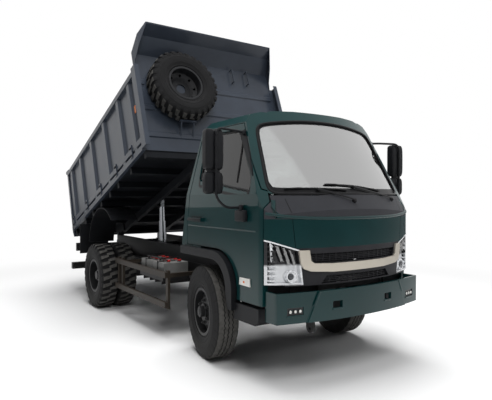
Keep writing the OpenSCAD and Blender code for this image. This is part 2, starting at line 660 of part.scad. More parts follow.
// Clear radius round each door hinge for the door's inner corner
door_sweep_r = 58;
module cab_tub() {
  intersection() {
    cab_form(wall_t);
    union() {
      box([-1000, -1000, floor_z], [1000, 600, floor_z + floor_t]);
      box([-1000, -1200, floor_z + floor_t], [1000, -950, front_low_z + 40]);
      both_sides() box([560, -860, cab_low_z], [600, -520, floor_z]);
    }
  }
  both_sides() intersection() {
    translate([0, 0, 500]) linear_extrude(floor_z - 500) cab_plan(wall_t + door_gap);
    union() {
      box([560, -860, 620], [600, -520, cab_low_z]);
      box([560, -860, 600], [cab_x, -520, 624]);
      box([560, -860, 600], [cab_x, -846, floor_z]);
      box([560, -534, 600], [cab_x, -520, floor_z]);
    }
  }
}
// Inner edges of the headlamps as (x, z), from foot to top
lamp_foot = [555, 789];
lamp_top = [588, 1062];
lamp_outer_z = 1145;
module lamp_outline() polygon([lamp_foot, [1000, 800], [1000, lamp_outer_z + 18], [cab_x, lamp_outer_z], lamp_top]);
// Opening of the lamp's bowl as (x, z)
module lamp_window() polygon([[570, 804], [824, 812], [824, 1126], [604, 1052]]);
lamp_depth = 36;
projector = [646, 856];
// Slanted slats as (x, z) of their upper and lower ends
lamp_slats = [[[752, 1098], [704, 976]], [[700, 1080], [652, 954]], [[650, 1062], [604, 946]]];
slat_w = 24;
lamp_rib_x = [764, 820];
lamp_rib_pitch = 38;
lamp_back_y = -884;
module lamp_parts() {
  difference() {
    translate([projector[0], -700, projector[1]]) rotate([90, 0, 0]) cylinder(r = 50, h = 500);
    translate([projector[0], -1040 + 40, projector[1]]) rotate([90, 0, 0]) cylinder(r = 38, h = 200);
  }
  for (e = lamp_slats) slab_y(-1200, -700) polygon([e[0], e[0] + [slat_w, 4], e[1] + [slat_w, -4], e[1]]);
  for (i = [0:7]) box([lamp_rib_x[0], -1200, 822 + i * lamp_rib_pitch], [lamp_rib_x[1], -700, 834 + i * lamp_rib_pitch]);
}
module front_lamps() color([0.85, 0.87, 0.9]) from_axle() both_sides() intersection() {
  cab_rest();
  slab_y(-1200, -600) lamp_outline();
  box([0, -1200, 0], [1000, lamp_back_y, 2000]);
  union() {
    difference() {
      box([500, -1250, 700], [900, -700, 1250]);
      slab_y(-1300, -650) lamp_window();
    }
    cab_form(lamp_depth);
    intersection() {
      cab_form(10);
      lamp_parts();
    }
  }
}
// Openings of the grille as (x, z)
module grille_openings() {
  polygon([[-468, 956], [468, 956], [498, 1030], [-498, 1030]]);
  polygon([[-402, 790], [402, 790], [346, 854], [-346, 854]]);
}
bar_w = 5;
bar_z = [804, 818, 832, 846, 970, 984, 998, 1012];
bar_pitch = 62;
module grille_bars() {
  for (z = bar_z) translate([-520, z - bar_w / 2]) square([1040, bar_w]);
  for (i = [-8:8]) translate([i * bar_pitch - bar_w / 2, 760]) square([bar_w, 290]);
}
module grille() color([0.09, 0.09, 0.1]) from_axle() intersection() {
  cab_rest();
  box([-700, -1200, 0], [700, lamp_back_y, 2000]);
  difference() {
    slab_y(-1200, -600) polygon([[-1000, cab_low_z], [1000, cab_low_z], [1000, front_low_z], [-1000, front_low_z]]);
    both_sides() slab_y(-1300, -500) lamp_outline();
    difference() {
      slab_y(-1300, -500) grille_openings();
      intersection() {
        slab_y(-1300, -500) grille_bars();
        cab_form(16);
        difference() {
          box([-700, -1200, 0], [700, -500, 2000]);
          cab_form(24);
        }
      }
    }
  }
}
// Half of the bright band's outline as (x, z): outer edge from top to bottom, then inner edge back up
band_half = [[[600, 1060], [585, 960], [560, 915], [500, 893], [300, 880]],
  [[300, 948], [470, 955], [500, 975], [512, 1060]]];
module band_outline() {
  polygon(concat(band_half[0], [[-300, 880]], [for (i = [3:-1:0]) [-band_half[0][i][0], band_half[0][i][1]]],
    [for (i = [3:-1:0]) [-band_half[1][i][0], band_half[1][i][1]]], band_half[1]));
}
band_proud = 16;
module grille_band() color([0.8, 0.75, 0.65]) from_axle() intersection() {
  difference() {
    cab_form(-band_proud);
    cab_form(0);
  }
  slab_y(-1200, -600) band_outline();
  box([-700, -1200, 0], [700, -900, 2000]);
}
step_low_z = 462;
module arch_flares() color([0.14, 0.14, 0.15]) from_axle() both_sides() {
  difference() {
    slab_x(cab_x - wall_t, cab_x + 45) intersection() {
      arch_edge(0);
      translate([-520, 534]) square([950, 600]);
    }
    slab_x(700, 950) arch_opening(0);
    slab_x(700, cab_x - 8) arch_opening(40);
  }
  slab_x(cab_x - wall_t - 190, cab_x + 10) polygon([[-846, step_low_z + 40], [-846, 600], [-520, 600],
    [-505, 534], [-487, step_low_z + 10], [-500, step_low_z], [-800, step_low_z]]);
  box([cab_x - wall_t, -520, 534], [cab_x + 10, -500, 600]);
}
module seats() color([0.2, 0.2, 0.22]) from_axle() for (x = [-420, 300]) {
  translate([x - 230, 0, 0]) rotate([90, 0, 90]) linear_extrude(x > 0 ? 460 : 620)
    polygon([[-400, 1090], [-410, 1180], [-370, 1210], [70, 1190], [150, 1720], [250, 1720], [240, 1250],
      [240, floor_z + floor_t], [-330, floor_z + floor_t], [-350, 1090]]);
}
module dashboard() color([0.15, 0.15, 0.16]) from_axle() {
  intersection() {
    cab_form(wall_t);
    slab_x(-700, 700) polygon([[-1200, 1120], [-1200, 1430], [-860, 1440], [-720, 1380], [-700, 1250], [-860, 1120]]);
  }
  strut([400, -760, 1300], [400, -600, 1400], 30);
  translate([400, -590, 1406]) rotate([-58, 0, 0]) rotate([180, 0, 0]) {
    rotate_extrude() translate([205, 0]) circle(14);
    for (a = [0, 120, 240]) rotate([0, 0, a]) box([0, -14, -6], [200, 14, 6]);
    translate([0, 0, -12]) cylinder(r = 45, h = 24);
  }
}
module wiper(x, reach) screen_frame() slab_y(-400, 300) {
  polygon([[x - 10, -20], [x + 10, -20], [x - reach + 8, 150], [x - reach - 8, 150]]);
  polygon([[x - reach - 300, 60], [x - reach - 300, 74], [x - reach + 240, 190], [x - reach + 240, 176]]);
}
module wipers() color([0.05, 0.05, 0.05]) from_axle() intersection() {
  difference() {
    cab_form(-12);
    cab_form(-1);
  }
  union() {
    wiper(120, 260);
    wiper(520, 260);
  }
}
bumper_bow_r = 3200;
module bumper_plan(t) intersection() {
  round_rect([-bumper_x + t, bumper_front + t], [bumper_x - t, 600], bumper_corner - t);
  translate([0, bumper_front + bumper_bow_r]) circle(bumper_bow_r - t, $fn = 360);
}
bumper_back = -886;
step_back = 14;
// Raised middle of the bumper as (x, z): its top and bottom corners
module bumper_middle() polygon([[-467, bumper_top + 1], [467, bumper_top + 1], [575, bumper_low - 1], [-575, bumper_low - 1]]);
tow_slot = [249, 600, 345, 656];
fog_recess = [604, 572, 742, 632];
module bumper_ring(outer, inner) difference() {
  bumper_plan(outer);
  bumper_plan(inner);
}
module bumper() color([0.03, 0.22, 0.22]) from_axle() {
  difference() {
    union() {
      intersection() {
        translate([0, 0, bumper_low]) linear_extrude(bumper_top - bumper_low) bumper_ring(step_back, bumper_t);
        box([-1000, -1300, 0], [1000, bumper_back, 1000]);
      }
      intersection() {
        translate([0, 0, bumper_low]) linear_extrude(bumper_top - bumper_low) bumper_ring(0, bumper_t);
        slab_y(-1300, -900) bumper_middle();
      }
    }
    both_sides() {
      box([tow_slot[0], -1300, tow_slot[1]], [tow_slot[2], -1000, tow_slot[3]]);
      box([fog_recess[0], -1300, fog_recess[1]], [fog_recess[2], -900, fog_recess[3]]);
    }
  }
  both_sides() intersection() {
    translate([0, 0, fog_recess[1] - 8]) linear_extrude(fog_recess[3] - fog_recess[1] + 16) bumper_ring(bumper_t - 6, bumper_t + 8);
    box([fog_recess[0] - 8, -1300, 0], [fog_recess[2] + 8, -900, 1000]);
  }
  both_sides() for (x = [632, 673, 714]) intersection() {
    translate([0, 0, fog_recess[1] + 14]) linear_extrude(32) bumper_ring(step_back + 3, bumper_t);
    box([x - 15, -1300, 0], [x + 15, -900, 1000]);
  }
  both_sides() intersection() {
    translate([0, 0, 640]) linear_extrude(80) bumper_plan(bumper_t);
    box([rail_in, -1300, 0], [rail_x, rail_front, 1000]);
  }
}

// Bed, drawn as lowered

bearer_h = 75;
// Room between the rear tyres and the bearer that carries the mud flaps
flap_gap = 217.5;
flap_y = wheelbase + tyre_r + flap_gap;
// Middles of the bearers under the floor, from the front axle
bearer_y = [940, 1400, 1850, 2180, 2560, 2950, flap_y, 3860];
sill_h = 95;
eye_pin_y = hinge_y - ram_arm * cos(ram_eye_angle);
eye_pin_z = hinge_z + ram_arm * sin(ram_eye_angle);
panel_x = bed_x - rib_d;
module bed_floor() color([0.16, 0.20, 0.24]) tipped() {
  box([-panel_x, bed_front, bed_floor_z], [panel_x, bed_back, bed_floor_z + sheet_t]);
  for (y = bearer_y) box([-panel_x, y - 28, bed_floor_z - bearer_h], [panel_x, y + 28, bed_floor_z]);
  both_sides() {
    box([rail_in, bed_front, bed_floor_z - bearer_h - sill_h], [rail_x, hinge_y - 90, bed_floor_z - bearer_h]);
    slab_x(rail_x + move_gap, rail_x + move_gap + 15) {
      polygon([[hinge_y - 260, bed_floor_z - bearer_h], [hinge_y - 260, bed_floor_z - bearer_h - 80],
        [hinge_y - 45, hinge_z], [hinge_y + 45, hinge_z], [hinge_y + 100, bed_floor_z - bearer_h],
        [hinge_y + 100, bed_floor_z], [hinge_y - 260, bed_floor_z]]);
      translate([hinge_y, hinge_z]) circle(45);
    }
    box([rail_x, hinge_y - 260, bed_floor_z - bearer_h - sill_h], [rail_x + move_gap + 15, hinge_y - 92, bed_floor_z - bearer_h]);
    for (x = [ram_x - 40, ram_x + 28]) slab_x(x, x + 12) {
      polygon([[eye_pin_y - 90, bed_floor_z], [eye_pin_y + 90, bed_floor_z], [eye_pin_y + 30, eye_pin_z],
        [eye_pin_y - 30, eye_pin_z]]);
      translate([eye_pin_y, eye_pin_z]) circle(30);
    }
    rod_x(eye_pin_r, ram_x - 42, ram_x + 42, eye_pin_y, eye_pin_z);
  }
  rod_x(hinge_r, -rail_x - move_gap - 16, rail_x + move_gap + 16, hinge_y, hinge_z);
}
// Middles of the ribs on each side, from the front axle
rib_y = [1080, 1470, 2045, 2620, 3195, 3690];
rib_w = 130;
lower_rail_h = 62;
upper_bar_z = 100;
// Drop-side brackets along the bottom rails, from the front axle
bracket_y = [1205, 1751, 2393, 3034, 3774];
module side_panel() {
  for (y = bracket_y) box([bed_x - 12, y - 26, bed_floor_z + 36], [bed_x + 8, y + 26, bed_floor_z + 190]);
  box([panel_x, bed_front, bed_floor_z], [panel_x + sheet_t, bed_back, side_top]);
  box([panel_x, bed_front, bed_floor_z], [bed_x, bed_back, bed_floor_z + lower_rail_h]);
  box([panel_x, bed_front, bed_floor_z + upper_bar_z], [bed_x - 4, bed_back, bed_floor_z + upper_bar_z + 60]);
  box([panel_x, bed_front, side_top - 60], [bed_x, bed_back, side_top]);
  for (y = rib_y) translate([0, 0, bed_floor_z + lower_rail_h]) linear_extrude(side_h - 60 - lower_rail_h)
    polygon([[panel_x, y - rib_w / 2], [bed_x - 6, y - rib_w / 2 + 28], [bed_x - 6, y + rib_w / 2 - 28],
      [panel_x, y + rib_w / 2]]);
}
// Pin of the tailgate's top hinge, in lugs on the sides
gate_pin_r = 14;
gate_pin_y = bed_back + move_gap + gate_t / 2;
gate_pin_z = gate_top_z - 12;
module bed_sides() color([0.16, 0.20, 0.24]) tipped() both_sides() {
  side_panel();
  slab_x(bed_x - 14, bed_x) {
    polygon([[bed_back - 90, side_top - 40], [gate_pin_y, gate_pin_z - 24], [gate_pin_y, gate_pin_z + 24],
      [bed_back - 90, gate_pin_z + 10]]);
    translate([gate_pin_y, gate_pin_z]) circle(24);
  }
  rod_x(gate_pin_r, bed_x - 66, bed_x - 13, gate_pin_y, gate_pin_z);
}
visor_top_z = 2300;
visor_bend = [750, 2462];
visor_tip = [600, 2520];
visor_half = [panel_x, 940, 872];
post_d = 112;
post_w = 54;
fold_z = [1262, 1600, 1925];
fold_d = 12;
rung_x = [370, 600];
rung_z = [2095, 2275];
rung_r = 8;
// Heights of the carrier under the spare wheel
carrier_z = spare_z - tyre_r - 22;
carrier_low_z = 1250;
// Plan of the visor, narrowing to its tip
module visor_plan(t) polygon([[-visor_half[0] + t, bed_front + 40], [-visor_half[0] + t, bed_front],
  [-visor_half[1] + t, visor_bend[0]], [-visor_half[2] + t, visor_tip[0] - 20], [visor_half[2] - t, visor_tip[0] - 20],
  [visor_half[1] - t, visor_bend[0]], [visor_half[0] - t, bed_front], [visor_half[0] - t, bed_front + 40]]);
module bed_headboard() color([0.16, 0.20, 0.24]) tipped() {
  box([-panel_x, bed_front, bed_floor_z + sheet_t], [panel_x, bed_front + sheet_t, visor_top_z]);
  intersection() {
    translate([0, 0, 2000]) linear_extrude(700) visor_plan(0);
    slab_x(-1000, 1000) polygon([[bed_front + sheet_t, visor_top_z - 10], [bed_front, visor_top_z], visor_bend, visor_tip,
      visor_tip + [-8, 14], visor_tip + [6, 22], visor_bend + [4, 8], [bed_front + sheet_t, visor_top_z + 8]]);
  }
  // Cheek plates that close the visor's ends
  intersection() {
    translate([0, 0, 2000]) linear_extrude(700) difference() {
      visor_plan(0);
      visor_plan(sheet_t);
    }
    slab_x(-1000, 1000) polygon([[bed_front + sheet_t, side_top], [bed_front + sheet_t, visor_top_z], visor_bend,
      visor_tip + [-8, 10], [bed_front - 40, 2170], [bed_front, side_top]]);
  }
  both_sides() difference() {
    box([panel_x - post_w + rib_d, bed_front - post_d, bed_floor_z + 20], [bed_x, bed_front, side_top + 40]);
    box([panel_x - post_w + rib_d - 1, bed_front - post_d + sheet_t, bed_floor_z + 19],
      [bed_x - sheet_t, bed_front - sheet_t, side_top + 41]);
  }
  both_sides() box([panel_x - post_w + rib_d, bed_front - sheet_t, bed_floor_z + 20], [panel_x, bed_front + 1, side_top + 40]);
  difference() {
    for (z = fold_z) slab_x(-panel_x + 30, panel_x - 30)
      polygon([[bed_front + 1, z - 38], [bed_front - fold_d, z - 26], [bed_front - fold_d, z + 26], [bed_front + 1, z + 38]]);
    translate([spare_x, bed_front, spare_z]) rotate([90, 0, 0]) cylinder(r = tyre_r + 12, h = fold_d + 10);
  }
  for (x = rung_x) {
    for (z = rung_z) translate([x, bed_front + 2, z]) rotate([90, 0, 0]) cylinder(r = rung_r, h = 62);
    translate([x, bed_front - 56, rung_z[0] - rung_r]) cylinder(r = rung_r, h = rung_z[1] - rung_z[0] + 2 * rung_r);
  }
  // Boss and struts that hold the spare wheel
  translate([spare_x, bed_front + 1, spare_z]) rotate([90, 0, 0])
    cylinder(r = 72, h = 1 + tyre_w / 2 - spare_disc_x - 6);
  for (x = [spare_x - 80, spare_x + 80]) strut([x, bed_front + 2, carrier_low_z], [x, bed_front - 92, carrier_z], 10);
  box([spare_x - 104, bed_front - 106, carrier_z - 10], [spare_x + 104, bed_front - 78, carrier_z + 10]);
}
fender_r = bed_floor_z - bearer_h - tyre_r;
module bed_fenders() color([0.08, 0.08, 0.09]) tipped() both_sides() {
  slab_x(640, 1000) difference() {
    translate([wheelbase, tyre_r]) circle(fender_r, $fn = 120);
    translate([wheelbase, tyre_r]) circle(fender_r - sheet_t, $fn = 120);
    translate([wheelbase - 700, -200]) square([1400, tyre_r + 200 + 250]);
  }
  slab_x(640, 1060) polygon([[flap_y, bed_floor_z - bearer_h], [flap_y + 8, bed_floor_z - bearer_h],
    [flap_y + 8 + 400 * tan(bed_tip), bed_floor_z - bearer_h - 400],
    [flap_y + 400 * tan(bed_tip), bed_floor_z - bearer_h - 400]]);
}
spare_y = bed_front - tyre_w / 2 - seat_gap;
module spare_place() tipped() translate([spare_x, spare_y, spare_z]) rotate([0, 0, 90]) children();
module spare_tyre() color([0.07, 0.07, 0.08]) spare_place() lug_tyre();
spare_disc_x = 56;
module spare_rim() color([0.07, 0.07, 0.075]) spare_place() difference() {
  rim(spare_disc_x, 60);
  hand_holes(spare_disc_x - 16, 8, 163, 15);
}
gate_x = bed_x - 20;
module tailgate() color([0.16, 0.20, 0.24]) tipped() difference() {
  union() {
    box([-gate_x, bed_back + move_gap, gate_low_z], [gate_x, bed_back + move_gap + sheet_t, gate_top_z]);
    box([-gate_x, bed_back + move_gap, gate_top_z - 70], [gate_x, gate_back, gate_top_z]);
    box([-gate_x, bed_back + move_gap, bed_floor_z - 20], [gate_x, gate_back, bed_floor_z + 60]);
    box([-gate_x, bed_back + move_gap, bed_floor_z + side_h / 2 - 30], [gate_x, gate_back - 8, bed_floor_z + side_h / 2 + 30]);
    both_sides() {
      slab_x(gate_x - 60, gate_x) polygon([[bed_back + move_gap, gate_low_z], [gate_back - 40, gate_low_z],
        [gate_back, bed_floor_z], [gate_back, gate_top_z], [bed_back + move_gap, gate_top_z]]);
      for (x = [290, 620]) box([x - 40, bed_back + move_gap, bed_floor_z], [x + 40, gate_back - 4, gate_top_z - 30]);
    }
  }
  both_sides() rod_x(gate_pin_r + run_fit, gate_x - 50, gate_x + 1, gate_pin_y, gate_pin_z);
}

// Hoist: twin telescopic rams, each drawn along +Z from its trunnion at s = 0

ram_rest_angle = ram_base_angle + ram_eye_angle + bed_tip;
ram_low_l = 2 * ram_arm * sin((ram_base_angle + ram_eye_angle) / 2);
ram_rest_l = 2 * ram_arm * sin(ram_rest_angle / 2);
stage_out = (ram_rest_l - ram_low_l) / 3;
// Lean of the rams from the vertical at rest, towards the rear
ram_lean = ram_rest_angle / 2 - ram_base_angle;
barrel_low = -150;
barrel_top = 290;
eye_wall = 13;
eye_neck = 14;
module ram_place() from_axle() translate([0, ram_base_y, ram_base_z]) rotate([-ram_lean, 0, 0]) children();
module rams() for (x = [-ram_x, ram_x]) translate([x, 0, 0]) children();
module ram_tube(r, inner, low, top) difference() {
  translate([0, 0, low]) cylinder(r = r, h = top - low);
  translate([0, 0, low - 1]) cylinder(r = inner, h = top - low + 2);
}
module hoist_barrels() color([0.13, 0.14, 0.15]) ram_place() difference() {
  union() {
    rams() translate([0, 0, barrel_low]) cylinder(r = barrel_r, h = barrel_top - barrel_low);
    rod_x(trunnion_r, -rail_in, rail_in);
  }
  rams() translate([0, 0, barrel_low + 10]) cylinder(r = stage_r + run_fit, h = barrel_top - barrel_low);
}
module hoist_stage_1() color([0.75, 0.76, 0.78]) ram_place() rams()
  ram_tube(stage_r, stage_r - stage_wall + run_fit, barrel_low + 16 + stage_out, barrel_top + 8 + stage_out);
module hoist_stage_2() color([0.75, 0.76, 0.78]) ram_place() rams()
  ram_tube(stage_r - stage_wall, stage_r - 2 * stage_wall + run_fit, barrel_low + 16 + 2 * stage_out,
    barrel_top + 16 + 2 * stage_out);
module hoist_rods() color([0.75, 0.76, 0.78]) ram_place() rams() {
  translate([0, 0, barrel_low + 16 + 3 * stage_out]) cylinder(r = stage_r - 2 * stage_wall,
    h = ram_rest_l - eye_slot - eye_pin_r - eye_wall - eye_neck - barrel_low - 16 - 3 * stage_out);
  translate([-25, 0, ram_rest_l]) rotate([90, 0, 90]) linear_extrude(50) difference() {
    union() {
      for (s = [-eye_slot, eye_slot]) translate([0, s]) circle(eye_pin_r + eye_wall);
      translate([-eye_pin_r - eye_wall, -eye_slot]) square([2 * (eye_pin_r + eye_wall), 2 * eye_slot]);
      translate([-eye_pin_r - eye_wall, -eye_slot - eye_pin_r - eye_wall - eye_neck - 5])
        square([2 * (eye_pin_r + eye_wall), eye_pin_r + eye_wall + eye_neck + 5]);
    }
    for (s = [-eye_slot, eye_slot]) translate([0, s]) circle(eye_pin_r + run_fit);
    translate([-eye_pin_r - run_fit, -eye_slot]) square([2 * (eye_pin_r + run_fit), 2 * eye_slot]);
  }
}

frame();
front_axle();
leaf_springs();
rear_axle();
engine();
driveline();
exhaust();
tanks();
battery();
side_guards();
tail_bar();
bumper();
front_lamps();
cab_floor();
cab_rear();
cab_roof();
cab_front();
cowl_panel();
cab_glass();
grille();
grille_band();
arch_flares();
seats();
dashboard();
wipers();
door(-1);  // door_right
door(1);  // door_left
door_glass(-1);  // door_glass_right
door_glass(1);  // door_glass_left
mirror_unit(-1);  // mirror_right
mirror_unit(1);  // mirror_left
knuckle(-1);  // knuckle_right
knuckle(1);  // knuckle_left
tie_rod();
front_tyre(-1);  // front_tyre_right
front_tyre(1);  // front_tyre_left
front_rim(-1);  // front_rim_right
front_rim(1);  // front_rim_left
rear_tyres(-1);  // rear_tyres_right
rear_tyres(1);  // rear_tyres_left
rear_rims(-1);  // rear_rims_right
rear_rims(1);  // rear_rims_left
bed_floor();
bed_sides();
bed_headboard();
bed_fenders();
spare_tyre();
spare_rim();
tailgate();
hoist_barrels();
hoist_stage_1();
hoist_stage_2();
hoist_rods();
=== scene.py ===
# Looks for a light dump truck with its tipping bed partly raised.
import json
import math

import bmesh
import bpy
from mathutils import Matrix, Vector
from mathutils.bvhtree import BVHTree


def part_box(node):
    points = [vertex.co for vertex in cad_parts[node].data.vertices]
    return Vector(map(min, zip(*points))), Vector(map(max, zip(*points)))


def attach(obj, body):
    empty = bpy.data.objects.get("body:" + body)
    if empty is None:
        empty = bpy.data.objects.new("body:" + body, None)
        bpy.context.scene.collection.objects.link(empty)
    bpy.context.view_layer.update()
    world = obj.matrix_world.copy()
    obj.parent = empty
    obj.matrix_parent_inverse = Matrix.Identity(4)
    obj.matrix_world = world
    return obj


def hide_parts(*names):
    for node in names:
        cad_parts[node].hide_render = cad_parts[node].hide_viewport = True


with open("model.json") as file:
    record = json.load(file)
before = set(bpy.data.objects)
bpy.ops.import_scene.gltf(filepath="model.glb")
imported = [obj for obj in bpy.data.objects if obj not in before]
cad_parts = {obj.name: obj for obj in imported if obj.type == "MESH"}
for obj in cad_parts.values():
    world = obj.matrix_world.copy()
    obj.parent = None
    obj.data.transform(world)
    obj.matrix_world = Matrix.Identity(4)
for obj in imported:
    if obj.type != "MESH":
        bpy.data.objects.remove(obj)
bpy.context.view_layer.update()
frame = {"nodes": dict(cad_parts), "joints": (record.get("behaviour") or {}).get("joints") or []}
nodes = frame["nodes"]
joints = {j["name"]: j for j in frame["joints"]}

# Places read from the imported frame
FRONT_AXLE_Y = joints["left_steer"]["pos_m"][1]
HINGE = Vector(joints["bed_tip"]["pos_m"])
BED_TIP = math.radians(20.17)  # how far the bed is raised at rest
STEER = math.radians(9.0)  # how far the front wheels are turned at rest

# The photograph's camera: place from the front axle, turn, tilt, and focal length and middle in pixels
CAMERA_PLACE = (-3.0866, -3.9509, 1.4725)
CAMERA_PAN = math.radians(-34.1317)
CAMERA_TILT = math.radians(90 - 0.2694)
FOCAL_PX, MIDDLE_PX = 491.55, (246, 200)
LENS_MM = 35.967


def rel(x, y, z):
    """A point of the cab or chassis, with y counted from the front axle."""
    return Vector((x, y + FRONT_AXLE_Y, z))


def line(s, start, end, steps):
    """Points of the cab from one place to another, with x counted outwards on side s."""
    a, b = rel(s * start[0], *start[1:]), rel(s * end[0], *end[1:])
    return [a.lerp(b, k / steps) for k in range(steps + 1)]


def cab_box(s, x, y, z):
    """The low and high corner of a box on side s of the cab, from its range along each axis."""
    a, b = rel(s * x[0], y[0], z[0]), rel(s * x[1], y[1], z[1])
    return tuple(map(min, a, b)), tuple(map(max, a, b))


SIDES = (("right", -1), ("left", 1))
SPARE_AXIS = (0.0, math.cos(BED_TIP), -math.sin(BED_TIP))
TIPPED = (Matrix.Translation(HINGE) @ Matrix.Rotation(-BED_TIP, 4, "X")
          @ Matrix.Translation(-HINGE) @ Matrix.Translation((0, FRONT_AXLE_Y, 0)))


# ---------------------------------------------------------------- materials

def new_material(name):
    mat = bpy.data.materials.new(name)
    mat.use_nodes = True
    mat.node_tree.nodes.clear()
    return mat, mat.node_tree


def node(tree, kind, inputs=None, **settings):
    """A shader node with its settings, and with each input set to a value or linked to a socket."""
    made = tree.nodes.new("ShaderNode" + kind)
    for key, value in settings.items():
        setattr(made, key, value)
    for key, value in (inputs or {}).items():
        if isinstance(value, bpy.types.NodeSocket):
            tree.links.new(value, made.inputs[key])
        else:
            made.inputs[key].default_value = value
    return made


def show(tree, shader, kind="OutputMaterial"):
    """Makes a shader the one that the material or world shows."""
    node(tree, kind, {"Surface": shader.outputs[0]})


def mixed(tree, share, first, second):
    return node(tree, "MixShader", {0: share, 1: first.outputs[0], 2: second.outputs[0]})


def joined(tree, operation, a, b, **settings):
    return node(tree, "Math", {0: a, 1: b}, operation=operation, **settings).outputs[0]


def scaled(tree, source, bottom, top, low=0.0, high=1.0, **settings):
    """A value between low and high, mapped to the range from bottom to top."""
    return node(tree, "MapRange", {"Value": source, "From Min": low, "From Max": high, "To Min": bottom,
                                   "To Max": top}, **settings).outputs["Result"]


def shade_nodes(tree, scale, detail=4.0):
    """Object coordinates and a noise on them."""
    coord = node(tree, "TexCoord").outputs["Object"]
    return coord, node(tree, "TexNoise", {"Scale": scale, "Detail": detail, "Vector": coord}).outputs["Fac"]


def ramp(tree, source, *stops):
    """A ramp between two colours, fed by a value; each stop is its position and colour."""
    made = node(tree, "ValToRGB", {"Fac": source})
    for element, (position, colour) in zip(made.color_ramp.elements, stops):
        element.position = position
        element.color = (*colour, 1.0)
    return made.outputs["Color"]


def uneven(tree, noise, colour, amount):
    """A colour that a noise darkens and lightens by a share of it."""
    return ramp(tree, noise, (0.3, [max(0.0, c * (1 - amount)) for c in colour]),
                (0.7, [min(1.0, c * (1 + amount)) for c in colour]))


def rounding(tree, radius):
    """A shading normal that rounds off edges."""
    return node(tree, "Bevel", {"Radius": radius}, samples=4).outputs["Normal"]


def surface(name, colour, rough, metallic=0.0, vary=0.12, scale=9.0, bump=0.0, bump_scale=400.0,
            coat=0.0, coat_rough=0.04, rough_vary=0.08, dust=None, specular=0.16, edge=0.0):
    """A procedural surface: uneven colour, uneven roughness, a fine bump and dust that settles low down."""
    mat, tree = new_material(name)
    coord, noise = shade_nodes(tree, scale)
    shade = uneven(tree, noise, colour, vary)
    if dust:
        dust_colour, dust_top, dust_amount = dust
        height = node(tree, "SeparateXYZ", {0: coord}).outputs["Z"]
        patch = joined(tree, "MULTIPLY", scaled(tree, height, dust_amount, 0.0, 0.0, dust_top), noise)
        shade = node(tree, "Mix", {"Factor": patch, "A": shade, "B": (*dust_colour, 1.0)},
                     data_type="RGBA").outputs["Result"]
    inputs = {"Base Color": shade, "Metallic": metallic, "Specular IOR Level": specular,
              "Coat Weight": coat, "Coat Roughness": coat_rough,
              "Roughness": scaled(tree, noise, max(0.02, rough - rough_vary), min(1.0, rough + rough_vary))}
    if edge:
        inputs["Normal"] = rounding(tree, edge)
    if bump:
        fine = node(tree, "TexNoise", {"Scale": bump_scale, "Detail": 3.0, "Vector": coord}).outputs["Fac"]
        under = {"Normal": inputs["Normal"]} if edge else {}
        inputs["Normal"] = node(tree, "Bump", {"Strength": bump, "Distance": 0.002, "Height": fine,
                                               **under}).outputs["Normal"]
    show(tree, node(tree, "BsdfPrincipled", inputs))
    return mat


def glass(name, tint, gloss=0.06, rough=0.02):
    """Thin glazing: mostly see-through, with a sharp reflection that grows at grazing angles."""
    mat, tree = new_material(name)
    _, noise = shade_nodes(tree, 3.0, 2.0)
    clear = node(tree, "BsdfTransparent", {"Color": uneven(tree, noise, tint, 0.04)})
    shine = node(tree, "BsdfGlossy", {"Roughness": rough})
    grazing = node(tree, "Fresnel", {"IOR": 1.5}).outputs[0]
    show(tree, mixed(tree, joined(tree, "ADD", grazing, gloss, use_clamp=True), clear, shine))
    return mat


def cloth(name, colour):
    """A woven seat cloth with a fine over-and-under weave."""
    mat, tree = new_material(name)
    coord, noise = shade_nodes(tree, 12.0)
    weave = joined(tree, "MAXIMUM", *(node(tree, "TexWave", {"Scale": 260.0, "Vector": coord},
                                           bands_direction=way).outputs["Fac"] for way in "XZ"))
    bump = node(tree, "Bump", {"Strength": 0.3, "Distance": 0.001, "Height": weave}).outputs["Normal"]
    show(tree, node(tree, "BsdfPrincipled", {
        "Base Color": uneven(tree, noise, colour, 0.2), "Roughness": 0.85, "Sheen Weight": 0.3,
        "Sheen Roughness": 0.4, "Normal": bump}))
    return mat


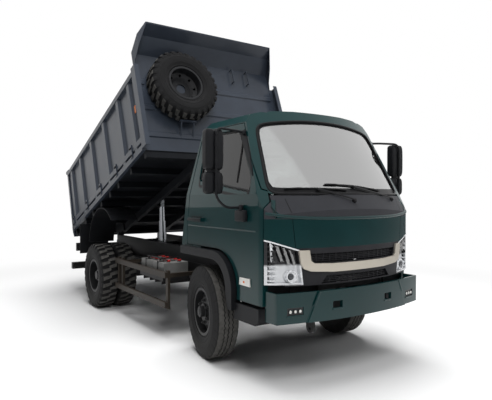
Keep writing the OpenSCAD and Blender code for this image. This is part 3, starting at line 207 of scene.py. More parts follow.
DUST = (0.13, 0.12, 0.10)
M = {
    "green": surface("body_green", (0.0022, 0.0270, 0.0280), 0.34, vary=0.10, scale=3.0, coat=0.5, coat_rough=0.02,
                     rough_vary=0.04, bump=0.02, bump_scale=900.0, specular=0.1, edge=0.004),
    "grey": surface("grey_plastic", (0.034, 0.035, 0.040), 0.5, vary=0.08, bump=0.12, bump_scale=700.0, edge=0.003),
    "dark": surface("black_plastic", (0.009, 0.0095, 0.011), 0.42, vary=0.15, bump=0.10, bump_scale=800.0, edge=0.005),
    "trim": surface("trim_rubber", (0.008, 0.008, 0.009), 0.35, vary=0.2, bump=0.05, bump_scale=800.0),
    "steel": surface("black_steel", (0.014, 0.0145, 0.016), 0.45, vary=0.25, bump=0.10, bump_scale=300.0,
                     dust=(DUST, 0.9, 0.25), edge=0.002),
    "cast": surface("grey_casting", (0.030, 0.031, 0.033), 0.6, metallic=0.5, vary=0.3, bump=0.5, bump_scale=250.0,
                    dust=(DUST, 0.9, 0.3)),
    "chrome": surface("satin_chrome", (0.60, 0.55, 0.47), 0.30, metallic=0.45, vary=0.04, scale=5.0, rough_vary=0.04,
                      specular=0.5, edge=0.005),
    "bright": surface("bright_chrome", (0.80, 0.81, 0.83), 0.16, metallic=0.6, vary=0.03, rough_vary=0.03,
                      specular=0.5),
    "slat": surface("lamp_slat", (0.30, 0.30, 0.30), 0.22, metallic=0.3, vary=0.05, specular=0.5),
    "eye": surface("projector_glass", (0.030, 0.034, 0.042), 0.06, vary=0.1, rough_vary=0.02, coat=1.0, coat_rough=0.0),
    "smoke": surface("lamp_smoke", (0.016, 0.016, 0.018), 0.25, vary=0.10, specular=0.4, edge=0.003),
    "mesh": surface("grille_black", (0.020, 0.020, 0.023), 0.40, vary=0.12, bump=0.08, bump_scale=600.0, edge=0.003),
    "rubber": surface("tyre_rubber", (0.010, 0.010, 0.0105), 0.68, vary=0.2, scale=14.0, bump=0.25, bump_scale=350.0,
                      dust=(DUST, 0.35, 0.12)),
    "tread": surface("tyre_tread", (0.072, 0.070, 0.066), 0.85, vary=0.30, scale=30.0, bump=0.35, bump_scale=300.0),
    "wheel": surface("wheel_steel", (0.018, 0.0185, 0.020), 0.34, vary=0.2, bump=0.06, dust=(DUST, 0.6, 0.15),
                     edge=0.003),
    "slate": surface("bed_slate", (0.034, 0.042, 0.057), 0.36, vary=0.12, scale=4.0, bump=0.08, bump_scale=220.0,
                     coat=0.3, coat_rough=0.2, edge=0.004),
    # The bed's floor: the slate made nearly black as painted shade, for the shaded underside of the raised bed
    "slate_painted_shade": surface("bed_underside_painted_shade", (0.006, 0.007, 0.009), 0.5, vary=0.2, scale=4.0, bump=0.12,
                         bump_scale=220.0, edge=0.003),
    "brown": surface("guard_brown", (0.030, 0.024, 0.019), 0.42, vary=0.25, bump=0.1,
                     dust=(DUST, 0.8, 0.2), edge=0.004),
    # The battery's pale case, darkened to a mid grey as painted shade for the shade it sits in
    "white": surface("battery_painted_shade", (0.19, 0.19, 0.185), 0.45, vary=0.12, bump=0.05, edge=0.004),
    # The hoist's chrome, darkened as painted shade for the shade under the raised bed
    "ram": surface("ram_chrome", (0.30, 0.31, 0.33), 0.20, metallic=1.0, vary=0.03, rough_vary=0.05),
    "rust": surface("rust_steel", (0.075, 0.060, 0.050), 0.6, metallic=0.5, vary=0.45, scale=20.0, bump=0.4),
    "red": surface("lamp_red", (0.42, 0.01, 0.012), 0.22, vary=0.08, coat=1.0),
    "orange": surface("reflector_orange", (0.75, 0.17, 0.01), 0.25, vary=0.06, coat=1.0),
    "cap_red": surface("cap_red", (0.45, 0.02, 0.02), 0.4, vary=0.08),
    "ivory": surface("lamp_white", (0.78, 0.77, 0.73), 0.22, vary=0.05, coat=1.0),
    "screen": glass("windscreen_glass", (0.80, 0.84, 0.83), gloss=0.46, rough=0.03),
    "window": glass("window_glass", (0.28, 0.33, 0.33), gloss=0.03),
    "mirror": surface("mirror_glass", (0.80, 0.82, 0.83), 0.03, metallic=1.0, vary=0.02, rough_vary=0.01),
    "lining": surface("cab_lining", (0.26, 0.26, 0.25), 0.8, vary=0.08, bump=0.1, bump_scale=500.0),
    "seat": cloth("seat_cloth", (0.085, 0.085, 0.092)),
}


def lamp_bowl():
    """The headlamp's inside: smoked round the upper slats, bright round the projector."""
    mat, tree = new_material("lamp_inside")
    coord, noise = shade_nodes(tree, 12.0)
    height = scaled(tree, node(tree, "SeparateXYZ", {0: coord}).outputs["Z"], 0.0, 1.0, 0.935, 0.955)
    low = ramp(tree, noise, (0.3, (0.72, 0.73, 0.75)), (0.7, (0.82, 0.83, 0.85)))
    high = ramp(tree, noise, (0.3, (0.020, 0.020, 0.022)), (0.7, (0.032, 0.032, 0.035)))
    shade = node(tree, "Mix", {"Factor": height, "A": low, "B": high}, data_type="RGBA").outputs["Result"]
    show(tree, node(tree, "BsdfPrincipled", {
        "Base Color": shade, "Roughness": scaled(tree, noise, 0.20, 0.32), "Metallic": 0.25,
        "Normal": rounding(tree, 0.003)}))
    return mat


M["bowl"] = lamp_bowl()
NODE_MATERIAL = {
    "steel": "frame front_axle leaf_springs tanks tail_bar knuckle_right knuckle_left tie_rod hoist_barrels",
    "cast": "rear_axle engine driveline", "rust": "exhaust", "white": "battery", "brown": "side_guards",
    "green": "bumper cab_rear cab_roof cab_front door_right door_left", "bowl": "front_lamps",
    "dark": "cab_floor arch_flares wipers mirror_right mirror_left bed_fenders", "grey": "cowl_panel dashboard",
    "screen": "cab_glass", "mesh": "grille", "chrome": "grille_band", "seat": "seats",
    "window": "door_glass_right door_glass_left",
    "rubber": "front_tyre_right front_tyre_left rear_tyres_right rear_tyres_left spare_tyre",
    "wheel": "front_rim_right front_rim_left rear_rims_right rear_rims_left spare_rim",
    "slate_painted_shade": "bed_floor", "slate": "bed_sides bed_headboard tailgate",
    "ram": "hoist_stage_1 hoist_stage_2 hoist_rods"}
for key, names in NODE_MATERIAL.items():
    for name in names.split():
        nodes[name].data.materials.clear()
        nodes[name].data.materials.append(M[key])


# ---------------------------------------------------------------- mesh helpers

def finish_mesh(mesh, angle=32.0):
    """Shades a mesh smooth, with edges sharper than the angle kept crisp."""
    mesh.polygons.foreach_set("use_smooth", [True] * len(mesh.polygons))
    mesh.set_sharp_from_angle(angle=math.radians(angle))
    mesh.update()


class Shape:
    """Collects faces, so that many small forms on one body make one piece."""

    def __init__(self):
        self.verts, self.faces, self.marks = [], [], []

    def add(self, verts, faces, matrix=None, mark=0):
        base = len(self.verts)
        self.verts += [(matrix @ Vector(v)) if matrix else Vector(v) for v in verts]
        self.faces += [tuple(base + i for i in f) for f in faces]
        self.marks += [mark] * len(faces)

    def bm_add(self, bm, matrix=None, mark=0):
        bm.verts.index_update()
        self.add([v.co.copy() for v in bm.verts], [[v.index for v in f.verts] for f in bm.faces], matrix, mark)
        bm.free()

    def box(self, low, high, radius=0.003, matrix=None, segments=2, mark=0):
        bm = bmesh.new()
        bmesh.ops.create_cube(bm, size=1.0)
        size = [high[i] - low[i] for i in range(3)]
        for v in bm.verts:
            v.co = Vector([(low[i] + high[i]) / 2 + v.co[i] * size[i] for i in range(3)])
        if radius:
            bmesh.ops.bevel(bm, geom=bm.edges[:], offset=min(radius, min(size) * 0.49), segments=segments,
                            profile=0.5, affect="EDGES")
        self.bm_add(bm, matrix, mark)

    def plate(self, outline, low, high, radius=0.0, matrix=None, segments=2, mark=0):
        """A flat plate with the outline in local XY, from low to high along Z."""
        bm = bmesh.new()
        face = bm.faces.new([bm.verts.new((x, y, low)) for x, y in outline])
        top = bmesh.ops.extrude_face_region(bm, geom=[face])
        bmesh.ops.translate(bm, verts=[e for e in top["geom"] if isinstance(e, bmesh.types.BMVert)],
                            vec=(0, 0, high - low))
        bmesh.ops.recalc_face_normals(bm, faces=bm.faces)
        if radius:
            rims = [e for e in bm.edges if abs(e.verts[0].co.z - e.verts[1].co.z) < 1e-6]
            bmesh.ops.bevel(bm, geom=rims, offset=radius, segments=segments, profile=0.5, affect="EDGES")
        self.bm_add(bm, matrix, mark)

    def lathe(self, profile, matrix, count=40, closed=False, mark=0):
        """Turns (radius, height) points about local Z."""
        verts, faces = [], []
        n = len(profile)
        for i in range(count):
            a = 2 * math.pi * i / count
            verts += [(r * math.cos(a), r * math.sin(a), z) for r, z in profile]
        for i in range(count):
            j = (i + 1) % count
            for k in range(n if closed else n - 1):
                l = (k + 1) % n
                faces.append((i * n + k, j * n + k, j * n + l, i * n + l))
        self.add(verts, faces, matrix, mark)

    def tube(self, points, radius, sides=8, closed=False, squash=1.0, up=None, mark=0):
        """A round or flattened bar along a path."""
        points = [Vector(p) for p in points]
        n = len(points)
        verts, faces = [], []
        for i, p in enumerate(points):
            a = points[(i - 1) % n] if closed or i else p
            b = points[(i + 1) % n] if closed or i < n - 1 else p
            t = (b - a).normalized()
            side = t.cross(up[i] if up else Vector((0.13, 0.21, 1.0))).normalized()
            lift = side.cross(t).normalized()
            for k in range(sides):
                w = 2 * math.pi * k / sides
                verts.append(p + side * (radius * math.cos(w)) + lift * (radius * squash * math.sin(w)))
        for i in range(n if closed else n - 1):
            j = (i + 1) % n
            for k in range(sides):
                l = (k + 1) % sides
                faces.append((i * sides + k, i * sides + l, j * sides + l, j * sides + k))
        if not closed:
            faces.append(tuple(range(sides - 1, -1, -1)))
            faces.append(tuple(range((n - 1) * sides, n * sides)))
        self.add(verts, faces, None, mark)

    def lobe(self, low, high, power=4.5, cuts=9, matrix=None, mark=0):
        """A pillow-like form that fills a box."""
        bm = bmesh.new()
        bmesh.ops.create_cube(bm, size=1.0)
        bmesh.ops.subdivide_edges(bm, edges=bm.edges[:], cuts=cuts, use_grid_fill=True)
        for v in bm.verts:
            u = v.co * 2
            u = u / (abs(u.x) ** power + abs(u.y) ** power + abs(u.z) ** power) ** (1 / power)
            v.co = Vector([(low[i] + high[i]) / 2 + u[i] * (high[i] - low[i]) / 2 for i in range(3)])
        self.bm_add(bm, matrix, mark)

    def make(self, name, keys, body, angle=32.0):
        mesh = bpy.data.meshes.new(name)
        mesh.from_pydata([tuple(v) for v in self.verts], [], self.faces)
        for key in ([keys] if isinstance(keys, str) else keys):
            mesh.materials.append(M[key])
        mesh.polygons.foreach_set("material_index", self.marks)
        mesh.update()
        bm = bmesh.new()
        bm.from_mesh(mesh)
        bmesh.ops.recalc_face_normals(bm, faces=bm.faces)
        bm.to_mesh(mesh)
        bm.free()
        finish_mesh(mesh, angle)
        piece = bpy.data.objects.new(name, mesh)
        bpy.context.scene.collection.objects.link(piece)
        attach(piece, body)
        return piece


def matrix_of(x, y, z, origin):
    """A matrix from its three axes and its place."""
    return Matrix((*zip(x, y, z, origin), (0, 0, 0, 1)))


def frame_at(origin, z_axis, x_hint=(0, 0, 1)):
    """A matrix that puts local Z along an axis."""
    z = Vector(z_axis).normalized()
    x = (Vector(x_hint) - z * z.dot(Vector(x_hint))).normalized()
    return matrix_of(x, z.cross(x), z, origin)


def grid_faces(rows, cols):
    """The faces of a grid of rows by cols cells, its points counted row by row."""
    w = cols + 1
    return [(r * w + k, r * w + k + 1, (r + 1) * w + k + 1, (r + 1) * w + k)
            for r in range(rows) for k in range(cols)]


def surface_tree(*names):
    """The outer surface of some CAD nodes, for laying trim on it."""
    verts, faces = [], []
    for name in names:
        mesh = nodes[name].data
        base = len(verts)
        verts += [v.co.copy() for v in mesh.vertices]
        faces += [tuple(base + i for i in p.vertices) for p in mesh.polygons]
    return BVHTree.FromPolygons(verts, faces)


def meet(tree, origin, direction):
    """Where a straight line first meets a surface, and the surface's normal there, turned to face the line."""
    place, normal, _, _ = tree.ray_cast(Vector(origin), Vector(direction).normalized())
    if place is None:
        return None, None
    if normal.dot(Vector(direction)) > 0:
        normal = -normal
    return place, normal


def bend(a, p, b, radius, steps):
    """Points round the corner p between a and b."""
    va, vb = a - p, b - p
    r = min(radius, va.length * 0.45, vb.length * 0.45)
    start, end = p + va.normalized() * r, p + vb.normalized() * r
    return [start * (1 - t) ** 2 + p * (2 * t * (1 - t)) + end * t ** 2
            for t in (k / steps for k in range(steps + 1))]


def rounded(points, radius, steps=5):
    """A closed outline with its corners rounded off."""
    n = len(points)
    return [q for i in range(n) for q in bend(points[i - 1], points[i], points[(i + 1) % n], radius, steps)]


def rounded_path(points, radius, steps=6):
    """An open path with its bends rounded off."""
    turns = [q for a, p, c in zip(points, points[1:], points[2:]) for q in bend(a, p, c, radius, steps)]
    return [points[0]] + turns + [points[-1]]


def resampled(points, count):
    """A closed outline as evenly spaced points."""
    n = len(points)
    lengths = [(points[(i + 1) % n] - points[i]).length for i in range(n)]
    total, out = sum(lengths), []
    for k in range(count):
        left = total * k / count
        for i in range(n):
            if left <= lengths[i] or i == n - 1:
                out.append(points[i].lerp(points[(i + 1) % n], min(1.0, left / max(lengths[i], 1e-9))))
                break
            left -= lengths[i]
    return out


# ---------------------------------------------------------------- tyres and wheels

# A tyre's side from the bead to the shoulder: radius, distance from the middle
SIDE = [(0.2053, 0.074), (0.2070, 0.0795), (0.2165, 0.0825), (0.2225, 0.0900), (0.2290, 0.0985), (0.2345, 0.1000),
        (0.2390, 0.0985), (0.2520, 0.1040), (0.2700, 0.1092), (0.2720, 0.1108), (0.2780, 0.1112), (0.2800, 0.1100),
        (0.3000, 0.1132), (0.3130, 0.1142), (0.3330, 0.1138), (0.3350, 0.1152), (0.3430, 0.1148), (0.3450, 0.1128),
        (0.3600, 0.1104), (0.3720, 0.1070)]


LUG_COUNT = 28
TWIN_INSET = 0.116  # from the outer side of a pair of twin tyres to the middle of its tyre
NUT_RING = 0.1025  # radius of the ring of wheel nuts


def wheel_matrix(centre, axis):
    """Local X along the wheel's axis."""
    x = Vector(axis).normalized()
    y = Vector((0, 0, 1)).cross(x).normalized()
    return matrix_of(x, y, x.cross(y), centre)


def ring(shape, matrix, verts, turns, marks):
    """Closes a grid of turns by columns into a ring and adds it; marks has one for each column."""
    w = len(marks)
    faces = []
    for i in range(turns):
        j = (i + 1) % turns
        faces += [(i * w + k, i * w + (k + 1) % w, j * w + (k + 1) % w, j * w + k) for k in range(w)]
    shape.add(verts, faces, matrix)
    shape.marks[-len(faces):] = marks * turns


def road_tyre(shape, matrix):
    """Sidewalls with raised rings and a crown with three zigzag grooves and notched shoulders."""
    turns, period = 360, 6
    zig = [0.0, 0.5, 1.0, 1.0, 0.5, 0.0]
    # Radius, distance from the middle, whether it zigzags, and 1 for the shoulder or 2 for the tread
    crown = [(0.3850, 0.1030, 0, 1), (0.4020, 0.0995, 0, 1), (0.4130, 0.0955, 0, 1), (0.4190, 0.0890, 0.0, 2),
             (0.4218, 0.0800, 0.0, 2), (0.4225, 0.0430, 1, 2), (0.4222, 0.0418, 1, 2), (0.4130, 0.0402, 1, 0),
             (0.4130, 0.0352, 1, 0), (0.4222, 0.0336, 1, 2), (0.4225, 0.0324, 1, 2), (0.4225, 0.0052, -1, 2),
             (0.4222, 0.0042, -1, 2), (0.4130, 0.0028, -1, 0)]
    half = [(r, x, 0, 0) for r, x in SIDE] + crown
    full = half + [(r, -x, z, m) for r, x, z, m in reversed(half)]
    columns = len(full)
    verts = []
    for i in range(turns):
        a = 2 * math.pi * i / turns
        shift = (zig[i % period] - 0.5) * 0.0085
        notch = i % 12 in (0, 1)
        for r, x, z, mark in full:
            if z:
                x += shift
            if mark == 1 and notch:
                r, x = r - 0.004, x * 0.985
            if mark == 2 and abs(x) > 0.079 and notch:
                r -= 0.005
            verts.append(Vector((x, r * math.cos(a), r * math.sin(a))))
    marks = [int(full[k][3] == full[(k + 1) % columns][3] == 2) for k in range(columns)]
    ring(shape, matrix, verts, turns, marks)


def lug_tyre(shape, matrix):
    """Deep block lugs from each shoulder to just past the middle, set half a pitch apart."""
    turns = 112
    core = SIDE + [(0.3830, 0.1032), (0.3960, 0.0960), (0.4030, 0.0860), (0.4065, 0.0660), (0.4080, 0.0300)]
    full = core + [(r, -x) for r, x in reversed(core)]
    verts = []
    for i in range(turns):
        a = 2 * math.pi * i / turns
        verts += [Vector((x, r * math.cos(a), r * math.sin(a))) for r, x in full]
    ring(shape, matrix, verts, turns, [0] * len(full))
    pitch = 2 * math.pi / LUG_COUNT
    # Stations along a lug: distance from the middle, tip radius, root radius, half width at tip and root
    stations = [(-0.0100, 0.4205, 0.4050, 0.155, 0.22), (-0.0070, 0.4223, 0.4050, 0.175, 0.24),
                (0.0120, 0.4225, 0.4050, 0.205, 0.265), (0.0450, 0.4225, 0.4045, 0.235, 0.295),
                (0.0740, 0.4222, 0.4020, 0.262, 0.318), (0.0880, 0.4205, 0.3980, 0.272, 0.325),
                (0.0952, 0.4150, 0.3900, 0.276, 0.325), (0.1005, 0.4040, 0.3850, 0.272, 0.318),
                (0.1068, 0.3870, 0.3770, 0.262, 0.305), (0.1092, 0.3690, 0.3680, 0.235, 0.280)]
    for side in (-1, 1):
        for i in range(LUG_COUNT):
            verts = []
            for x, tip, root, wt, wr in stations:
                mid = (i + 0.25 * side) * pitch - side * (x - 0.04) * 0.55
                inner = min(x, 0.1040) - (0.012 if x > 0.1 else 0.0)
                for r, w, px in ((root, -wr, inner), (tip - 0.0035, -wt - 0.012, x), (tip, -wt + 0.012, x),
                                 (tip, wt - 0.012, x), (tip - 0.0035, wt + 0.012, x), (root, wr, inner)):
                    a = mid + w * pitch
                    verts.append((side * px, r * math.cos(a), r * math.sin(a)))
            spans, cells = len(stations) - 1, 5
            ends = [tuple(range(cells + 1)), tuple(range(spans * (cells + 1), len(verts)))]
            shape.add(verts, grid_faces(spans, cells) + ends, matrix)
            # The flat tips, up to the shoulder, carry the worn tread's colour
            worn = [int(k == 2 and r < 6) for r in range(spans) for k in range(cells)]
            shape.marks[-len(worn) - 2:] = worn + [0, 0]


def middle(name):
    """The middle of a CAD node's box."""
    low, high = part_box(name)
    return [(low[i] + high[i]) / 2 for i in range(3)]


def hub_and_nuts(shape, tree, centre, axis, ring_r, count, hub_profile, reach=0.35):
    """Wheel nuts on their studs, found on the disc's face, and a hub cap."""
    axis = Vector(axis).normalized()
    base = wheel_matrix(centre, axis)
    for i in range(count):
        a = 2 * math.pi * (i + 0.5) / count
        start = base @ Vector((reach, ring_r * math.cos(a), ring_r * math.sin(a)))
        place, _ = meet(tree, start, -axis)
        if place is None:
            continue
        turned = frame_at(place, axis)
        shape.lathe([(0.0, -0.002), (0.0225, -0.002), (0.0225, 0.002), (0.019, 0.004), (0.0, 0.004)], turned, 20)
        shape.lathe([(0.0, 0.0), (0.0165, 0.0), (0.0165, 0.017), (0.0145, 0.020), (0.0, 0.020)], turned, 6)
        shape.lathe([(0.0, 0.015), (0.0088, 0.015), (0.0088, 0.030), (0.0075, 0.032), (0.0, 0.032)], turned, 12)
    if hub_profile:
        place, _ = meet(tree, base @ Vector((reach, 0.03, 0.0)), -axis)
        start = centre if place is None else place
        depth = (Vector(start) - Vector(centre)).dot(axis)
        shape.lathe(hub_profile, frame_at(Vector(centre) + axis * (depth - 0.004), axis), 36)


def lug_piece(name, body, places):
    """Lug tyres on one body, each at its place and axis."""
    shape = Shape()
    for place, axis in places:
        lug_tyre(shape, wheel_matrix(place, axis))
    return shape.make(name, ["rubber", "tread"], body, 28)


def build_wheels():
    """Tyres, hub caps and wheel nuts for every wheel."""
    axis = (math.cos(STEER), -math.sin(STEER), 0.0)
    hub = [(0.0, 0.0), (0.050, 0.0), (0.050, 0.016), (0.044, 0.020), (0.030, 0.022), (0.026, 0.026), (0.0, 0.027)]
    for name, s in SIDES:
        shape = Shape()
        centre = middle("front_tyre_" + name)
        road_tyre(shape, wheel_matrix(centre, axis))
        piece = shape.make("road_tyre_" + name, ["rubber", "tread"], "wheel_front_" + name, 28)
        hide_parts("front_tyre_" + name)
        shape = Shape()
        hub_and_nuts(shape, surface_tree("front_rim_" + name, "knuckle_" + name), centre, [s * v for v in axis],
                     NUT_RING, 6, hub)
        shape.make("front_hub_" + name, "wheel", "wheel_front_" + name)
        low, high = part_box("rear_tyres_" + name)
        _, y, z = middle("rear_tyres_" + name)
        twins = [(x, y, z) for x in (low[0] + TWIN_INSET, high[0] - TWIN_INSET)]
        piece = lug_piece("lug_tyres_" + name, "wheels_rear_" + name, [(place, (1, 0, 0)) for place in twins])
        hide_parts("rear_tyres_" + name)
        shape = Shape()
        hub_and_nuts(shape, surface_tree("rear_rims_" + name, "rear_axle"), twins[s > 0], (s, 0, 0), NUT_RING, 6, None)
        shape.make("rear_nuts_" + name, "wheel", "wheels_rear_" + name)
    piece = lug_piece("lug_tyre_spare", "bed", [(middle("spare_tyre"), SPARE_AXIS)])
    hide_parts("spare_tyre")


build_wheels()


# ---------------------------------------------------------------- cab trim

SCREEN_LEAN = math.atan2(0.410, 0.700)
SCREEN_BACK_Y = -1.9  # all of the windscreen lies ahead of this, and the rear window behind it
BACKWARD = (0, 1, 0)  # the way that lines from in front of the cab run
AHEAD = -1.6  # where those lines start, counted from the front axle
ABEAM = 1.2  # how far out the lines start that run inwards to the doors
BED_ABEAM = 1.3  # and those that run inwards to the bed's sides


def landed(tree, start, aim, near=None):
    """Where a line meets a surface, or else the place nearest to a point, and the normal there."""
    place, normal = meet(tree, start, aim)
    if place is None:
        place, normal, _, _ = tree.find_nearest(start if near is None else near)
    return place, normal


def facing(tree, point):
    """The place on a surface nearest to a point, and the normal there, turned to the front."""
    place, normal, _, _ = tree.find_nearest(point)
    return place, (normal if normal.y < 0 else -normal)


def trace(tree, points, direction, back=0.6, always=False):
    """Drops points on a surface along a direction; returns the places and normals that meet it."""
    out = []
    direction = Vector(direction)
    for p in points:
        start = Vector(p) - direction * back
        place, normal = landed(tree, start, direction, p) if always else meet(tree, start, direction)
        if place is not None:
            out.append((place, -normal if normal.dot(direction) > 0 else normal))
    return out


def bead(shape, tree, points, direction, lift, radius, squash, sides=6, closed=False):
    """A thin bar laid along a line on a surface."""
    hits = trace(tree, points, direction)
    shape.tube([p + n * lift for p, n in hits], radius, sides, closed, squash, [n for _, n in hits])


def band(shape, tree, outer, inner, direction, lift):
    """A thin border between two outlines of equally many points, laid just over a surface."""
    n = len(outer)
    hits = trace(tree, outer, direction, always=True) + trace(tree, inner, direction, always=True)
    faces = []
    for i in range(n):
        j = (i + 1) % n
        faces += [(i, j, n + j, n + i), (2 * n + j, j, i, 2 * n + i), (n + i, 3 * n + i, 3 * n + j, n + j)]
    shape.add([p + m * lift for p, m in hits] + [p - m * 0.001 for p, m in hits], faces)


def flat_outline(points, radius, count):
    """A rounded, evenly spaced outline from flat corner points."""
    return resampled(rounded([Vector((p[0], p[1], 0)) for p in points], radius, 6), count)


def grown(points, amount):
    """An outline moved outwards from its middle by about an amount."""
    n = len(points)
    out = []
    for i in range(n):
        t = (points[(i + 1) % n] - points[i - 1]).normalized()
        out.append(points[i] + Vector((t.y, -t.x, 0)) * amount)
    return out


def outer_faces():
    """The windscreen's outer faces as vertices and faces, with doubled vertices joined."""
    mesh = nodes["cab_glass"].data
    ahead = Vector((0, math.cos(SCREEN_LEAN), -math.sin(SCREEN_LEAN)))
    index, verts, faces = {}, [], []
    for poly in mesh.polygons:
        if poly.normal.dot(ahead) > -0.35 or poly.center.y > SCREEN_BACK_Y:
            continue
        face = []
        for i in poly.vertices:
            co = mesh.vertices[i].co
            key = tuple(round(v, 5) for v in co)
            if key not in index:
                index[key] = len(verts)
                verts.append(co.copy())
            face.append(index[key])
        if len(set(face)) > 2:
            faces.append(tuple(face))
    return verts, faces


def rim_loop(verts, faces):
    """The longest open edge round some faces, as points in order."""
    seen = {}
    for face in faces:
        for i, j in zip(face, face[1:] + face[:1]):
            seen.setdefault((min(i, j), max(i, j)), []).append((i, j))
    follow = {}
    for pair in seen.values():
        if len(pair) == 1:
            follow.setdefault(pair[0][0], []).append(pair[0][1])
    best = []
    while follow:
        start = next(iter(follow))
        loop, here = [], start
        while here in follow:
            loop.append(here)
            onward = follow[here].pop()
            if not follow[here]:
                del follow[here]
            here = onward
        if len(loop) > len(best):
            best = loop
    return [verts[i] for i in best]


def smoothed(points, reach, times):
    """A closed line whose points are averaged with their neighbours."""
    n = len(points)
    for _ in range(times):
        points = [sum((points[(i + k) % n] for k in range(-reach, reach + 1)), Vector()) / (2 * reach + 1)
                  for i in range(n)]
    return points


def windscreen():
    """Rubber seal round the glass, painted fillets in its corners and its dark printed border."""
    verts, faces = outer_faces()
    tree = BVHTree.FromPolygons(verts, faces)
    sharp = resampled(rim_loop(verts, faces), 240)
    soft = smoothed(sharp, 3, 3)
    centre = sum(sharp, Vector()) / len(sharp)
    n = len(sharp)

    def on_glass(p, lift):
        q, up = facing(tree, p)
        return q + up * lift
    shape = Shape()
    shape.tube([on_glass(p, 0.0095) for p in soft], 0.0105, 8, True, 0.75, [facing(tree, p)[1] for p in soft])
    shape.make("windscreen_seal", "trim", "chassis", 50)
    # Fillets between the square opening and the rounded seal
    shape = Shape()
    level, inner = [[on_glass(p, 0.0116) for p in path] for path in (sharp, soft)]
    for i in range(n):
        j = (i + 1) % n
        if max((level[i] - inner[i]).length, (level[j] - inner[j]).length) > 0.003:
            shape.add([level[i], level[j], inner[j], inner[i]], [(0, 1, 2, 3)])
    shape.make("windscreen_fillets", "green", "chassis", 60)
    # Border, deepest along the foot
    points = []
    for i, p in enumerate(soft):
        inward = facing(tree, p)[1].cross((soft[(i + 1) % n] - soft[i - 1]).normalized())
        if inward.dot(centre - p) < 0:
            inward = -inward
        width = 0.027 + 0.032 * max(0.0, 1.0 - (p.z - 1.500) / 0.10)
        points += [on_glass(p + inward * width * k / 3, 0.0012) for k in range(4)]
    shape = Shape()
    shape.add(points, [(4 * i + k, 4 * ((i + 1) % n) + k, 4 * ((i + 1) % n) + k + 1, 4 * i + k + 1)
                       for i in range(n) for k in range(3)])
    shape.make("windscreen_border", "trim", "chassis", 60)


def pixel_ray(px, py):
    """The line of sight of the photograph's camera through one of its pixels."""
    turn = Matrix.Rotation(CAMERA_PAN, 3, "Z") @ Matrix.Rotation(CAMERA_TILT, 3, "X")
    aim = turn @ Vector(((px - MIDDLE_PX[0]) / FOCAL_PX, (MIDDLE_PX[1] - py) / FOCAL_PX, -1))
    return rel(*CAMERA_PLACE), aim.normalized()


def wipers():
    """Two wipers parked along the windscreen's foot, each an arm on its pivot and a blade in its carrier."""
    glass_tree = surface_tree("cab_glass")
    cowl = surface_tree("cowl_panel", "cab_front")
    shape = Shape()
    count = 14
    # Pixels of each wiper's pivot, its arm's end, and the two ends of its blade
    for pivot, knee, *blade in (((354, 201), (318, 190.5), (284, 189.5), (346, 191.0)),
                                ((391, 199.5), (353, 188.2), (324, 185.0), (378, 191.5))):
        base, up = meet(cowl, *pixel_ray(*pivot))
        ends = []
        for p in (*blade, knee):
            place, normal = meet(glass_tree, *pixel_ray(*p))
            if place is None:
                place, normal, _, _ = cowl.ray_cast(*pixel_ray(*p))
            ends.append(place + normal * 0.012)
        a, b, tip = ends
        run = [facing(glass_tree, a.lerp(b, i / count)) for i in range(count + 1)]
        ups = [n for _, n in run]
        shape.tube([q + n * 0.0035 for q, n in run], 0.0035, 6, False, 1.0, ups)
        shape.tube([q + n * (0.0125 + 0.006 * math.sin(math.pi * i / count)) for i, (q, n) in enumerate(run)],
                   0.0065, 8, False, 0.7, ups)
        for t in (0.2, 0.8):
            q, n = run[int(t * count)]
            shape.tube([q + n * 0.003, q + n * 0.016], 0.0055, 6)
        q, n = facing(glass_tree, tip)
        shape.tube([base + up * 0.004, base + up * 0.022, base.lerp(q, 0.18) + n * 0.028,
                    base.lerp(q, 0.55) + n * 0.026, q + n * 0.022], 0.0085, 8, False, 0.6, [up] * 5)
        shape.lathe([(0.0, -0.004), (0.019, -0.004), (0.019, 0.012), (0.014, 0.024), (0.0, 0.026)],
                    frame_at(base, up, (1, 0, 0)), 18)
        shape.box((-0.018, -0.010, 0.012), (0.018, 0.010, 0.027), 0.003, frame_at(q, n, (1, 0, 0)))
    piece = shape.make("wiper_pair", "trim", "chassis")
    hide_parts("wipers")


def painted_corners():
    """The painted panel turns up round the outer ends of the grey cowl."""
    # Height and inner end of the panel's edge
    edge = [(1.312, 0.640), (1.322, 0.700), (1.338, 0.738), (1.362, 0.764), (1.400, 0.782), (1.450, 0.796),
            (1.497, 0.806)]
    cols = 7
    tree = surface_tree("cowl_panel", "cab_front")
    for name, s in SIDES:
        points = []
        for z, x_in in edge:
            for k in range(cols + 1):
                t = k / 6
                if t < 1:
                    start, aim = rel(s * (x_in + max(0.0, 0.790 - x_in) * t), AHEAD, z), BACKWARD
                else:
                    turn = math.radians(30 + 56 * (t - 1))
                    aim = Vector((-s * math.sin(turn), math.cos(turn), 0))
                    start = rel(s * 0.725, -0.878, z) - aim * 0.8
                place, normal = landed(tree, start, aim, rel(s * 0.80, -0.95, z))
                points.append(place + normal * 0.0012)
        shape = Shape()
        shape.add(points, grid_faces(len(edge) - 1, cols))
        shape.tube(points[::cols + 1], 0.0035, 6)
        shape.make("painted_corner_" + name, "green", "chassis", 60)


HANDLE_Y = 0.175
HANDLE_HALF = 0.1305
CUP_HALF = 0.094
CUP_ABEAM = 0.872  # just inside the grip
CREASE_Z = 1.205
# The side window's outline: y from the front axle, z
SIDE_WINDOW = [(-0.705, 1.510), (-0.700, 1.640), (-0.430, 2.030), (-0.380, 2.060), (0.120, 2.075), (0.160, 2.060),
               (0.172, 1.650), (0.150, 1.630), (-0.344, 1.556)]


